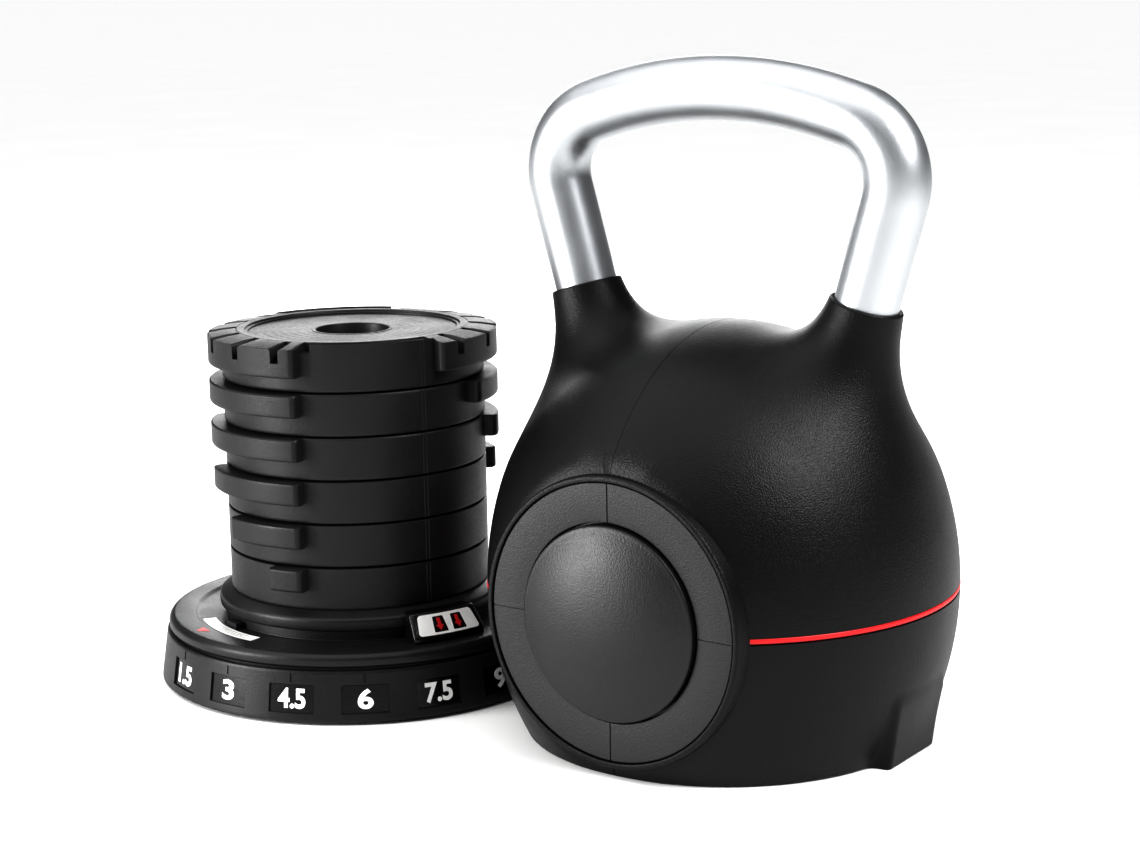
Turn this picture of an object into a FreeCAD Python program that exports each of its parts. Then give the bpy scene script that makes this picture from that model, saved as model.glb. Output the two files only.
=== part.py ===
"""Adjustable kettlebell: a hollow bell with a tube handle, six weight plates and their dial dock.

Millimetres, +Z up. The origin is the centre of the dock's middle foot, on the floor. The dock's axis is
the Z axis. The bell stands beside the dock, on +X, with its front towards -Y.
"""

import FreeCAD
import Part
import Sketcher
import math
import os

doc = FreeCAD.newDocument("AdjustableKettlebell")
sheet = doc.addObject("Spreadsheet::Sheet", "Sizes")

# Driving dimensions: alias, value in millimetres or degrees, what it is.
DIMENSIONS = [
    # where the two halves of the set stand
    ("bell_place", 224.0, "bell axis from the dock axis, towards +X"),
    ("bell_back", 20.0, "the same, towards +Y"),
    ("dock_yaw", 40.5, "turn of the dock's front away from -Y"),
    # dock
    ("foot_high", 1.5, "rubber feet"),
    ("ring_low_radius", 112.0, "numbered ring at its foot"),
    ("ring_top_radius", 108.0, "numbered ring at its top edge"),
    ("ring_top", 28.0, "top edge of the numbered ring"),
    ("ring_wall", 3.0, "wall of the numbered ring"),
    ("window_wide", 25.0, "number window"),
    ("window_tall", 15.0, "number window"),
    ("window_centre", 13.5, "height of the number windows' middles"),
    ("window_step", 20.5, "angle from one number to the next"),
    ("window_deep", 1.6, "depth of a number window"),
    ("window_first", -61.5, "angle of the first number from the dock's front"),
    ("window_count", 7.0, "weights that can be set"),
    ("column_radius", 69.0, "column that carries the collar"),
    ("column_wall", 4.0, "wall of that column"),
    ("collar_radius", 78.5, "fixed collar"),
    ("collar_low", 40.5, "underside of the collar"),
    ("collar_top", 50.7, "seat of the plates"),
    ("post_radius", 18.5, "centre post"),
    ("post_top", 186.0, "top of the centre post"),
    # turntable
    ("table_radius", 106.8, "turntable"),
    ("table_low", 29.2, "underside of the turntable"),
    ("table_top", 36.5, "lip that the bell stands on"),
    ("table_turn_gap", 0.3, "turntable bore clear of the column"),
    ("block_inner", 80.5, "lifting blocks, inner radius"),
    ("block_outer", 98.0, "lifting blocks, outer radius"),
    ("block_half_angle", 12.8, "half the angle a lifting block spans"),
    ("block_top", 51.0, "top of the lifting blocks"),
    ("block_angle", 28.5, "first lifting block from the dock's front"),
    # plates
    ("plate_count", 6.0, "plates on the dock"),
    ("plate_radius", 71.5, "plate body"),
    ("plate_pitch", 23.4, "height of one plate in the stack"),
    ("crown_extra", 2.0, "how much taller the top plate is"),
    ("plate_gap", 0.1, "free height between plates"),
    ("plate_bore", 20.0, "bore radius"),
    ("rim_inner", 58.8, "raised rim, inner radius"),
    ("rim_outer", 63.5, "raised rim, outer radius"),
    ("rim_step", 1.0, "shoulder outside the raised rim"),
    ("recess_deep", 2.2, "recess inside the raised rim"),
    ("core_inner", 24.0, "iron core, inner radius"),
    ("core_outer", 66.5, "iron core, outer radius"),
    ("core_tall", 15.6, "iron core"),
    ("lug_radius", 79.0, "lugs"),
    ("lug_tall", 12.0, "height of a lug"),
    ("lug_low", 10.4, "underside of a lug above the plate's own underside"),
    ("crown_lug_low", 8.0, "the same on the top plate"),
    ("lug_front", -23.5, "front end of the lugs"),
    ("notch_angle", 3.5, "locking notch"),
    ("notch_deep", 9.5, "locking notch"),
    # bell body
    ("bell_radius", 119.8, "widest radius"),
    ("bell_waist", 76.6, "height of the widest radius"),
    ("bell_crown", 132.0, "dome above the widest radius"),
    ("bell_side_arc", 165.0, "radius of the side's arc"),
    ("bell_wall", 3.0, "shell wall"),
    ("band_tall", 2.8, "coloured band"),
    ("pad_foot", 108.0, "pads over the lifting blocks, face at the rim"),
    ("pad_head", 113.0, "the same at the pads' top"),
    ("pad_top", 34.0, "top of the pads"),
    ("pad_half", 24.0, "half the width of a pad"),
    ("medal_radius", 68.8, "front medallion ring, outer radius"),
    ("medal_cap_radius", 48.0, "medallion cap"),
    ("medal_face", 104.6, "plane of the medallion ring from the bell axis"),
    ("medal_seat", 98.6, "plane of the medallion's seat"),
    ("cap_dome", 8.5, "height of the cap's dome"),
    # handle
    ("tube_radius", 16.0, "handle tube"),
    ("tube_wall", 3.0, "handle tube"),
    ("leg_lean", 16.0, "how far the legs lean out"),
    ("mouth_z", 222.0, "height of a horn's mouth"),
    ("bend_x", 65.0, "centre of the bend"),
    ("bend_z", 281.0, "centre of the bend"),
    ("bend_radius", 32.0, "bend of the tube's centre line"),
    ("bar_top", 323.4, "centre line at the crown of the bar"),
    ("socket_deep", 38.0, "tube inside its horn"),
    ("horn_foot_radius", 36.0, "horn where it leaves the dome"),
    ("horn_mouth_radius", 18.2, "horn at its mouth"),
    ("horn_long", 74.0, "horn"),
    # inside the bell
    ("sleeve_inner", 80.5, "inner radius of the carrier sleeve"),
    ("sleeve_wall", 2.5, "carrier sleeve"),
    ("sleeve_top", 163.0, "carrier sleeve"),
    ("ledge_inner", 73.5, "inner radius of the ledges"),
    ("ledge_thick", 5.0, "ledges"),
    ("ledge_angle", 16.0, "angle that a ledge spans"),
    ("ledge_lag", 2.25, "ledge middle behind the bell's side"),
    ("ledge_gap", 0.7, "ledge under its lug when the bell is docked"),
    ("lock_travel", 8.0, "lock plate"),
    ("lock_low", 158.0, "underside of the lock plate when it is down"),
    ("lock_thick", 4.0, "lock plate"),
    ("lock_radius", 77.5, "lock plate, over its teeth"),
    ("bridge_low", 178.0, "underside of the bridge that holds the lock spring"),
    ("bridge_thick", 3.5, "bridge"),
    ("bridge_radius", 58.0, "bridge"),
]


class Size:
    """A number worked out from the sheet, with the expression that gives it."""

    def __init__(self, number, words):
        self.number = number
        self.words = words

    def __add__(self, other):
        other = size(other)
        return Size(self.number + other.number, f"({self.words} + {other.words})")

    def __sub__(self, other):
        other = size(other)
        return Size(self.number - other.number, f"({self.words} - {other.words})")

    def __mul__(self, other):
        other = size(other)
        return Size(self.number * other.number, f"({self.words} * {other.words})")

    def __truediv__(self, other):
        other = size(other)
        return Size(self.number / other.number, f"({self.words} / {other.words})")

    def __neg__(self):
        return size(0) - self

    def __radd__(self, other):
        return size(other) + self

    def __rsub__(self, other):
        return size(other) - self

    def __rmul__(self, other):
        return size(other) * self


def size(value):
    """A plain number as a Size; a Size stays as it is."""
    if isinstance(value, Size):
        return value
    return Size(float(value), f"{float(value):.6f}")


def root(value):
    return Size(math.sqrt(value.number), f"sqrt({value.words})")


def cosine(angle):
    return Size(math.cos(math.radians(angle.number)), f"cos({angle.words} * 1 deg)")


def sine(angle):
    return Size(math.sin(math.radians(angle.number)), f"sin({angle.words} * 1 deg)")


def fill_sheet():
    """Write each dimension on its own row and return the named sizes."""
    sizes = {}
    for row, (alias, number, meaning) in enumerate(DIMENSIONS, start=1):
        sheet.set(f"A{row}", meaning)
        sheet.set(f"B{row}", str(number))
        sheet.setAlias(f"B{row}", alias)
        sizes[alias] = Size(number, f"Sizes.{alias}")
    doc.recompute()
    return sizes


D = fill_sheet()
ZERO = size(0)
NODES = []


def bind(thing, path, value):
    thing.setExpression(path, size(value).words)


def put(thing, east=ZERO, north=ZERO, up=ZERO, turn=None, axis=(0, 0, 1)):
    """Place a piece by expressions: a point, and a turn in degrees about one fixed axis."""
    east, north, up = size(east), size(north), size(up)
    angle = size(turn if turn is not None else 0)
    thing.Placement = FreeCAD.Placement(
        FreeCAD.Vector(east.number, north.number, up.number),
        FreeCAD.Rotation(FreeCAD.Vector(*axis), angle.number),
    )
    bind(thing, "Placement.Base.x", east)
    bind(thing, "Placement.Base.y", north)
    bind(thing, "Placement.Base.z", up)
    if turn is not None:
        bind(thing, "Placement.Rotation.Angle", angle)
    return thing


# ---------------------------------------------------------------- solids from the sheet


def drum(name, radius, low, high, east=ZERO, north=ZERO, angle=None, start=None):
    """An upright cylinder, or the slice of one that starts at an angle and spans another."""
    radius, low, high = size(radius), size(low), size(high)
    solid = doc.addObject("Part::Cylinder", name)
    bind(solid, "Radius", radius)
    bind(solid, "Height", high - low)
    if angle is not None:
        bind(solid, "Angle", angle)
    return put(solid, east, north, low, turn=start)


def ball(name, radius, height):
    """A sphere with its centre on the Z axis."""
    solid = doc.addObject("Part::Sphere", name)
    bind(solid, "Radius", radius)
    return put(solid, up=height)


def block(name, west, east, south, north, low, high):
    """A box between two corners."""
    west, south, low = size(west), size(south), size(low)
    solid = doc.addObject("Part::Box", name)
    bind(solid, "Length", size(east) - west)
    bind(solid, "Width", size(north) - south)
    bind(solid, "Height", size(high) - low)
    return put(solid, west, south, low)


def cut(name, base, *tools):
    result = doc.addObject("Part::Cut", name)
    result.Base = base
    result.Tool = tools[0] if len(tools) == 1 else fuse(name + "_tools", *tools)
    return result


def fuse(name, *pieces):
    result = doc.addObject("Part::MultiFuse", name)
    result.Shapes = list(pieces)
    return result


def common(name, first, second):
    result = doc.addObject("Part::MultiCommon", name)
    result.Shapes = [first, second]
    return result


def group(name, pieces):
    """Separate like solids in one node."""
    result = doc.addObject("Part::Compound", name)
    result.Links = list(pieces)
    return result


def sector(name, inner, outer, low, high, start, sweep):
    """A slice of a ring: angles in degrees, from the row's +X in the piece's own frame."""
    whole = drum(name + "_slice", outer, low, high, angle=sweep, start=start)
    hole = drum(name + "_hole", inner, size(low) - 1, size(high) + 1)
    return cut(name + "_sector", whole, hole)


def origin_plane(body, role):
    return next(f for f in body.Origin.OriginFeatures if f.Role == role)


def outline(sketch, corners):
    """A closed outline. Each corner is (x, z) or (x, z, radius): a radius makes the edge that leaves the
    corner an arc of that radius, with its centre on the left of the edge when the radius is negative."""
    count = len(corners)
    points = [FreeCAD.Vector(size(c[0]).number, size(c[1]).number, 0) for c in corners]
    for index, corner in enumerate(corners):
        start, end = points[index], points[(index + 1) % count]
        if len(corner) == 2:
            sketch.addGeometry(Part.LineSegment(start, end), False)
            continue
        radius = size(corner[2]).number
        along = (end - start).normalize()
        left = FreeCAD.Vector(-along.y, along.x, 0)
        half = (end - start).Length / 2
        rise = abs(radius) - math.sqrt(radius * radius - half * half)
        middle = (start + end) * 0.5 + left * (rise if radius > 0 else -rise)
        sketch.addGeometry(Part.Arc(start, middle, end), False)
    for index, corner in enumerate(corners):
        geometry = sketch.Geometry[index]
        before = sketch.Geometry[index - 1]
        here = point_end(geometry, points[index])
        there = point_end(before, points[index])
        sketch.addConstraint(Sketcher.Constraint("Coincident", (index - 1) % count, there, index, here))
        for kind, value in (("DistanceX", size(corner[0])), ("DistanceY", size(corner[1]))):
            at = sketch.addConstraint(Sketcher.Constraint(kind, -1, 1, index, here, value.number))
            bind(sketch, f"Constraints[{at}]", value)
        if len(corner) == 3:
            reach = size(corner[2])
            reach = reach if reach.number > 0 else -reach
            at = sketch.addConstraint(Sketcher.Constraint("Radius", index, reach.number))
            bind(sketch, f"Constraints[{at}]", reach)


def point_end(edge, point):
    """Sketcher's number for the end of an edge that lies on a point: 1 for its start, 2 for its end."""
    return 1 if edge.StartPoint.distanceToPoint(point) < edge.EndPoint.distanceToPoint(point) else 2


def turned(name, corners):
    """A body of revolution about Z from a closed outline of (radius, height) corners."""
    body = doc.addObject("PartDesign::Body", name)
    sketch = body.newObject("Sketcher::SketchObject", name + "_outline")
    sketch.AttachmentSupport = [(origin_plane(body, "XZ_Plane"), "")]
    sketch.MapMode = "FlatFace"
    outline(sketch, corners)
    feature = body.newObject("PartDesign::Revolution", name + "_turn")
    feature.Profile = sketch
    feature.ReferenceAxis = (sketch, ["V_Axis"])
    feature.Angle = 360.0
    return body


def box_outline(inner, outer, low, high):
    return [(inner, low), (outer, low), (outer, high), (inner, high)]


def node(name, thing, home):
    """Give a finished piece its name and its home: on the dock, or on the bell."""
    thing.Label = name
    if home == "dock":
        put(thing, turn=D["dock_yaw"])
    else:
        put(thing, east=D["bell_place"], north=D["bell_back"])
    NODES.append(thing)
    return thing


def screw(name, east, north, head_low, head_radius, head_tall, shank_radius, shank_top):
    """A screw driven from below: a flat head under a plain shank."""
    head = drum(name + "_head", head_radius, head_low, head_low + head_tall, east, north)
    shank = drum(name + "_shank", shank_radius, head_low + head_tall, shank_top, east, north)
    return fuse(name, head, shank)


def around(radius, angle):
    """A point on a circle about Z, the angle in degrees."""
    angle = size(angle)
    return radius * cosine(angle), radius * sine(angle)


FRONT = -90.0  # the front of the dock and of the bell, in their own frames
SIDES = (("right", 1), ("left", -1))

# ---------------------------------------------------------------- dock
BASE_THICK = 3.0
BOSS_RADIUS = 5.0
SCREW_RADIUS = 2.0
SCREW_HEAD_RADIUS = 4.0
SCREW_HEAD_TALL = 2.2
COLLAR_SCREW_CIRCLE = 58.0
COLLAR_SCREW_ANGLES = (45, 135, 225, 315)

base_low = D["foot_high"]
base_top = base_low + BASE_THICK
inner_low_radius = D["ring_low_radius"] - D["ring_wall"]
inner_top_radius = D["ring_top_radius"] - D["ring_wall"]
LIP_THICK = 2.5
LIP_WIDE = 9.0
inner_slope = (inner_low_radius - inner_top_radius) / (D["ring_top"] - LIP_THICK - base_low)

number_ring = turned(
    "ring_blank",
    [
        (inner_low_radius, base_low),
        (D["ring_low_radius"], base_low),
        (D["ring_top_radius"], D["ring_top"]),
        (D["ring_top_radius"] - LIP_WIDE, D["ring_top"]),
        (D["ring_top_radius"] - LIP_WIDE, D["ring_top"] - LIP_THICK),
        (inner_top_radius, D["ring_top"] - LIP_THICK),
    ],
)
TILE_THICK = 0.8
windows = []
tiles = []
window_mid = D["window_centre"]
window_low = window_mid - D["window_tall"] / 2
window_high = window_mid + D["window_tall"] / 2
wall_slope = (D["ring_low_radius"] - D["ring_top_radius"]) / (D["ring_top"] - base_low)
window_face = D["ring_low_radius"] - wall_slope * (window_low - base_low)
half_sweep = D["window_wide"] / 2 / D["ring_low_radius"] * size(180 / math.pi)
for index in range(int(D["window_count"].number)):
    angle = D["window_first"] + D["window_step"] * index + FRONT
    floor_outline = [
        (window_face - D["window_deep"], window_low),
        (window_face + 4, window_low),
        (window_face + 4, window_high),
        (window_face - D["window_deep"] - wall_slope * D["window_tall"], window_high),
    ]
    tile_outline = [
        (window_face - D["window_deep"], window_low),
        (window_face - D["window_deep"] + TILE_THICK, window_low),
        (window_face - D["window_deep"] + TILE_THICK - wall_slope * D["window_tall"], window_high),
        (window_face - D["window_deep"] - wall_slope * D["window_tall"], window_high),
    ]
    for label, shape, made in (("window", floor_outline, windows), ("tile", tile_outline, tiles)):
        whole = turned(f"{label}_{index}_turn", shape)
        wedge = drum(f"{label}_{index}_wedge", D["ring_low_radius"] + 5, window_low - 1, window_high + 1,
                     angle=half_sweep * 2, start=angle - half_sweep)
        made.append(common(f"{label}_{index}", whole, wedge))
node("number_ring", cut("number_ring_cut", number_ring, *windows), "dock")
node("number_tiles", group("number_tiles_group", tiles), "dock")

base = turned(
    "base_blank",
    [
        (0, base_low),
        (inner_low_radius, base_low),
        (inner_low_radius - inner_slope * BASE_THICK, base_top),
        (D["post_radius"] + 4, base_top),
        (D["post_radius"] + 4, base_top + 10),
        (D["post_radius"], base_top + 10),
        (D["post_radius"], base_top),
        (0, base_top),
    ],
)
sinks = []
for index, angle in enumerate(COLLAR_SCREW_ANGLES):
    east, north = around(size(COLLAR_SCREW_CIRCLE), angle)
    sinks.append(drum(f"sink_{index}", SCREW_HEAD_RADIUS, base_low - 1, base_low + SCREW_HEAD_TALL,
                      east, north))
    sinks.append(drum(f"sink_{index}_through", SCREW_RADIUS, base_low, base_top + 1, east, north))
node("base_pan", cut("base_pan_cut", base, *sinks), "dock")

FOOT_RADIUS = 8.0
FOOT_CIRCLE = 98.0
FOOT_COUNT = 6
MIDDLE_FOOT_RADIUS = 20.0
feet = [drum("middle_foot", MIDDLE_FOOT_RADIUS, 0, base_low)]
for index in range(FOOT_COUNT):
    east, north = around(size(FOOT_CIRCLE), 30 + 360 / FOOT_COUNT * index)
    feet.append(drum(f"foot_{index}", FOOT_RADIUS, 0, base_low, east, north))
node("rubber_feet", group("rubber_feet_group", feet), "dock")

column_inner = D["column_radius"] - D["column_wall"]
collar = turned(
    "collar_blank",
    [
        (column_inner, base_top),
        (D["column_radius"], base_top),
        (D["column_radius"], D["collar_low"]),
        (D["collar_radius"], D["collar_low"]),
        (D["collar_radius"], D["collar_top"] - 3.6),
        (D["plate_radius"] + 0.5, D["collar_top"] - 0.4),
        (D["plate_radius"] - 1, D["collar_top"]),
        (D["plate_bore"] + 4, D["collar_top"]),
        (D["plate_bore"] + 4, D["collar_top"] - 3.6),
        (column_inner, D["collar_top"] - 3.6),
    ],
)
bosses = []
holes = []
for index, angle in enumerate(COLLAR_SCREW_ANGLES):
    east, north = around(size(COLLAR_SCREW_CIRCLE), angle)
    bosses.append(drum(f"boss_{index}", BOSS_RADIUS, base_top, D["collar_top"] - 2, east, north))
    holes.append(drum(f"boss_hole_{index}", SCREW_RADIUS, base_top - 1, base_top + 14, east, north))
node("centre_collar", cut("collar_cut", fuse("collar_bosses", collar, *bosses), *holes), "dock")

collar_screws = []
for index, angle in enumerate(COLLAR_SCREW_ANGLES):
    east, north = around(size(COLLAR_SCREW_CIRCLE), angle)
    collar_screws.append(screw(f"collar_screw_{index}", east, north, base_low, SCREW_HEAD_RADIUS,
                               SCREW_HEAD_TALL, SCREW_RADIUS, base_top + 13.5))
node("collar_screws", group("collar_screw_group", collar_screws), "dock")

POST_CHAMFER = 3.0
node(
    "centre_post",
    turned(
        "post_blank",
        [
            (0, base_top),
            (D["post_radius"], base_top),
            (D["post_radius"], D["post_top"] - POST_CHAMFER),
            (D["post_radius"] - POST_CHAMFER, D["post_top"]),
            (0, D["post_top"]),
        ],
    ),
    "dock",
)

GLIDE_TALL = 0.9
node("glide_ring", turned("glide_blank", box_outline(D["ring_top_radius"] - 8, D["ring_top_radius"] - 3,
                                                     D["ring_top"], D["ring_top"] + GLIDE_TALL)), "dock")

# ---------------------------------------------------------------- turntable
table_bore = D["column_radius"] + D["table_turn_gap"]
DISH = 1.6
HUB_WIDE = 6.0
HUB_GAP = 0.4
MARK_THICK = 0.4
disc = turned(
    "table_blank",
    [
        (table_bore, D["table_low"]),
        (D["table_radius"] - 1, D["table_low"]),
        (D["table_radius"], D["table_low"] + 1),
        (D["table_radius"], D["table_top"] - 2),
        (D["table_radius"] - 2, D["table_top"]),
        (D["block_outer"] - 5, D["table_top"]),
        (D["block_outer"] - 7, D["table_top"] - DISH),
        (table_bore + HUB_WIDE, D["table_top"] - DISH),
        (table_bore + HUB_WIDE, D["collar_low"] - HUB_GAP),
        (table_bore, D["collar_low"] - HUB_GAP),
    ],
)
# the pointer is let into the disc, flush with the lip that the bell stands on
pointer_middle = D["window_first"] + FRONT
pointer_inner, pointer_outer = D["block_outer"] - 1.5, D["block_outer"] + 3.5
pointer_low = D["table_top"] - MARK_THICK
pointer_space = sector("pointer_space", pointer_inner, pointer_outer, pointer_low, D["table_top"] + 1,
                       pointer_middle - 2, size(4))
node("turntable_disc", cut("table_done", disc, pointer_space), "dock")
node("pointer", sector("pointer", pointer_inner, pointer_outer, pointer_low, D["table_top"],
                       pointer_middle - 2, size(4)), "dock")
BLOCK_SLOPE_FOOT = 9.0
INSET_THICK = 0.8
block_low = D["table_top"] - DISH
lip_inner = D["block_outer"] - 5
blocks = []
plates = []
for index in range(2):
    middle = D["block_angle"] + FRONT + 180 * index
    slope = [
        (D["block_inner"], block_low),
        (D["block_outer"] - 7, block_low),
        (lip_inner, D["table_top"]),
        (D["block_outer"], D["table_top"]),
        (D["block_outer"], D["table_top"] + 3),
        (D["block_outer"] - BLOCK_SLOPE_FOOT, D["block_top"]),
        (D["block_inner"], D["block_top"]),
    ]
    wedge = drum(f"block_{index}_wedge", D["block_outer"] + 3, block_low - 1, D["block_top"] + 1,
                 angle=D["block_half_angle"] * 2, start=middle - D["block_half_angle"])
    inset = [
        (D["block_outer"] - 0.6 - INSET_THICK, D["table_top"] + 3.8),
        (D["block_outer"] + 3, D["table_top"] + 3.8),
        (D["block_outer"] + 3, D["block_top"] - 1.2),
        (D["block_outer"] + 0.4 - BLOCK_SLOPE_FOOT - INSET_THICK, D["block_top"] - 1.2),
    ]
    inset_wedge = drum(f"inset_{index}_wedge", D["block_outer"] + 3, block_low, D["block_top"],
                       angle=D["block_half_angle"] * 2 - 3, start=middle - D["block_half_angle"] + 1.5)
    inset_space = common(f"inset_{index}", turned(f"inset_{index}_turn", inset), inset_wedge)
    solid = common(f"block_{index}", turned(f"block_{index}_turn", slope), wedge)
    plates.append(common(f"arrow_plate_{index}", solid, inset_space))
    blocks.append(cut(f"block_{index}_cut", solid, inset_space))
node("lifting_blocks", group("lifting_block_group", blocks), "dock")
node("arrow_plates", group("arrow_plate_group", plates), "dock")

node("guide_label", sector("label", size(82), size(90), block_low, block_low + MARK_THICK,
                           pointer_middle - 16.5, size(36.5)), "dock")
node("locating_tab", sector("tab", size(76.5), size(81), block_low, block_low + 3.2,
                            pointer_middle - 4, size(8)), "dock")

# ---------------------------------------------------------------- plates
SHOULDER = 0.8
NOTCH_LEAD = 8.0  # angle from the front end of a lug to its first notch
plate_count = int(D["plate_count"].number)
# each plate down the stack is caught one step later, so its lugs reach one step less far round
LUG_SWEEPS = [D["window_step"] * (plate_count - 1 - index) + past
              for index, past in enumerate((18.0, 17.5, 17.5, 17.5, 17.5, 15.5))]
lug_floor = {}
stack_top = D["collar_top"] + D["plate_pitch"] * plate_count + D["crown_extra"]
for number in range(plate_count, 0, -1):
    crowned = number == 1
    low = D["collar_top"] + D["plate_pitch"] * (plate_count - number)
    high = low + D["plate_pitch"] + (D["crown_extra"] if crowned else 0) - D["plate_gap"]
    shoulder = high - D["rim_step"]
    jacket = turned(
        f"plate_{number}_blank",
        [
            (D["plate_bore"], low),
            (D["core_inner"], low),
            (D["core_inner"], low + D["core_tall"]),
            (D["core_outer"], low + D["core_tall"]),
            (D["core_outer"], low),
            (D["plate_radius"] - SHOULDER, low),
            (D["plate_radius"], low + SHOULDER),
            (D["plate_radius"], shoulder - SHOULDER),
            (D["plate_radius"] - SHOULDER, shoulder),
            (D["rim_outer"], shoulder),
            (D["rim_outer"], high),
            (D["rim_inner"], high),
            (D["rim_inner"], high - D["recess_deep"]),
            (D["plate_bore"], high - D["recess_deep"]),
        ],
    )
    sweep = LUG_SWEEPS[number - 1]
    lug_floor[number] = low + (D["crown_lug_low"] if crowned else D["lug_low"])
    lug_top = high if crowned else lug_floor[number] + D["lug_tall"]
    parts = [jacket]
    notches = []
    for side in range(2):
        start = D["lug_front"] + FRONT + 180 * side - sweep
        parts.append(sector(f"lug_{number}_{side}", D["plate_radius"] - 1.5, D["lug_radius"],
                            lug_floor[number], lug_top, start, sweep))
        if crowned:
            for step in range(plate_count):
                middle = D["lug_front"] + FRONT + 180 * side - NOTCH_LEAD - D["window_step"] * step
                notches.append(sector(f"notch_{side}_{step}", D["rim_outer"], D["lug_radius"] + 1,
                                      high - D["notch_deep"], high + 1, middle - D["notch_angle"] / 2,
                                      D["notch_angle"]))
            notches.append(sector(f"notch_{side}_end", D["rim_outer"], D["lug_radius"] + 1,
                                  high - D["notch_deep"] / 2, high + 1,
                                  D["lug_front"] + FRONT + 180 * side, size(5)))
    solid = fuse(f"plate_{number}_lugs", *parts)
    if notches:
        solid = cut(f"plate_{number}_crown", solid, *notches)
    node(f"plate_{number}_jacket", solid, "dock")
    node(f"plate_{number}_core", turned(f"plate_{number}_iron", box_outline(
        D["core_inner"], D["core_outer"], low, low + D["core_tall"])), "dock")

# ---------------------------------------------------------------- bell shell
lean = D["leg_lean"]
# a leg's line meets the handle's bend square to its radius, and runs down through the horn's mouth
bend_foot_x = D["bend_x"] + D["bend_radius"] * cosine(lean)
bend_foot_z = D["bend_z"] - D["bend_radius"] * sine(lean)
mouth_x = bend_foot_x - (bend_foot_z - D["mouth_z"]) * sine(lean) / cosine(lean)
side_centre = D["bell_radius"] - D["bell_side_arc"]
waist = D["bell_waist"]
inset_x = D["bell_side_arc"] - D["bell_radius"]
crown_arc = (D["bell_side_arc"] * D["bell_side_arc"] - inset_x * inset_x
             - D["bell_crown"] * D["bell_crown"]) / ((D["bell_side_arc"] - D["bell_crown"]) * 2)
crown_centre = waist + D["bell_crown"] - crown_arc


def dome_outline(shrink, low):
    """The bell's half outline down to a height, moved inwards: rim, side arc, crown arc, apex."""
    arc = D["bell_side_arc"] - shrink
    share = arc / (D["bell_side_arc"] - crown_arc)
    rim = side_centre + root(arc * arc - (waist - low) * (waist - low))
    join_x = side_centre - side_centre * share
    join_z = waist + (crown_centre - waist) * share
    return rim, arc, join_x, join_z, crown_arc - shrink, waist + D["bell_crown"] - shrink


def dome(name, shrink, low):
    """A solid of the bell's shape, smaller by shrink all round, with its foot at a height."""
    rim, arc, join_x, join_z, top_arc, apex = dome_outline(shrink, size(low))
    return turned(name, [(0, low), (rim, low, -arc), (join_x, join_z, -top_arc), (0, apex)])


def leaning(kind, name, sign, along, **sizes):
    """A cylinder or cone on a handle leg's axis; along is measured up the leg from the horn's mouth."""
    solid = doc.addObject(kind, name)
    for key, value in sizes.items():
        bind(solid, key, value)
    east = (mouth_x + sine(lean) * along) * sign
    up = D["mouth_z"] + cosine(lean) * along
    return put(solid, east, ZERO, up, turn=lean, axis=(0, sign, 0))


SOCKET_WALL = 3.0
SOCKET_FLOOR = 5.0
HORN_WALL = 3.0
HANDLE_SCREW_RADIUS = 4.0
socket_end = -D["socket_deep"]
inner_space = dome("inner_space", D["bell_wall"], -1)
medal_space = []
for label, sign in (("front", -1), ("back", 1)):
    space = doc.addObject("Part::Cylinder", f"medal_space_{label}")
    bind(space, "Radius", D["medal_radius"])
    bind(space, "Height", size(40))
    put(space, ZERO, D["medal_seat"] * sign, waist, turn=size(90), axis=(-sign, 0, 0))
    medal_space.append(space)
seats = []
for label, sign in (("front", -1), ("back", 1)):
    rim_wall = doc.addObject("Part::Cylinder", f"medal_boss_{label}")
    bind(rim_wall, "Radius", D["medal_radius"] + 3)
    bind(rim_wall, "Height", D["medal_face"] - D["medal_seat"] + 3)
    put(rim_wall, ZERO, (D["medal_seat"] - 3) * sign, waist, turn=size(90), axis=(-sign, 0, 0))
    hole = doc.addObject("Part::Cylinder", f"medal_back_{label}")
    bind(hole, "Radius", D["medal_cap_radius"] - 6)
    bind(hole, "Height", size(20))
    put(hole, ZERO, (D["medal_seat"] - 10) * sign, waist, turn=size(90), axis=(-sign, 0, 0))
    seats.append(cut(f"medal_seat_{label}", rim_wall, hole))

pads = []
pockets = []
for label, sign in SIDES:
    pad = doc.addObject("Part::Wedge", f"pad_{label}")
    # the wedge's outer face leans out from the rim to the pad's top
    bind(pad, "Xmin", ZERO)
    bind(pad, "Xmax", D["pad_half"] * 2)
    bind(pad, "X2min", ZERO)
    bind(pad, "X2max", D["pad_half"] * 2)
    bind(pad, "Ymin", ZERO)
    bind(pad, "Ymax", D["pad_top"])
    bind(pad, "Zmin", ZERO)
    bind(pad, "Zmax", D["pad_foot"] - 85)
    bind(pad, "Z2min", ZERO)
    bind(pad, "Z2max", D["pad_head"] - 85)
    basis = FreeCAD.Rotation(FreeCAD.Vector(0, sign, 0), FreeCAD.Vector(0, 0, 1), FreeCAD.Vector(sign, 0, 0))
    pad.Placement = FreeCAD.Placement(FreeCAD.Vector(85 * sign, -24 * sign, 0), basis)
    bind(pad, "Placement.Base.y", -D["pad_half"] * sign)
    pads.append(pad)
    reach = D["block_half_angle"] + 1.2
    pockets.append(sector(f"pocket_{label}", D["block_inner"] - 1, D["block_outer"] + 0.8, size(-1),
                          D["block_top"] - D["table_top"] + 0.8, (size(0) if sign > 0 else size(180)) - reach,
                          reach * 2))

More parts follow.
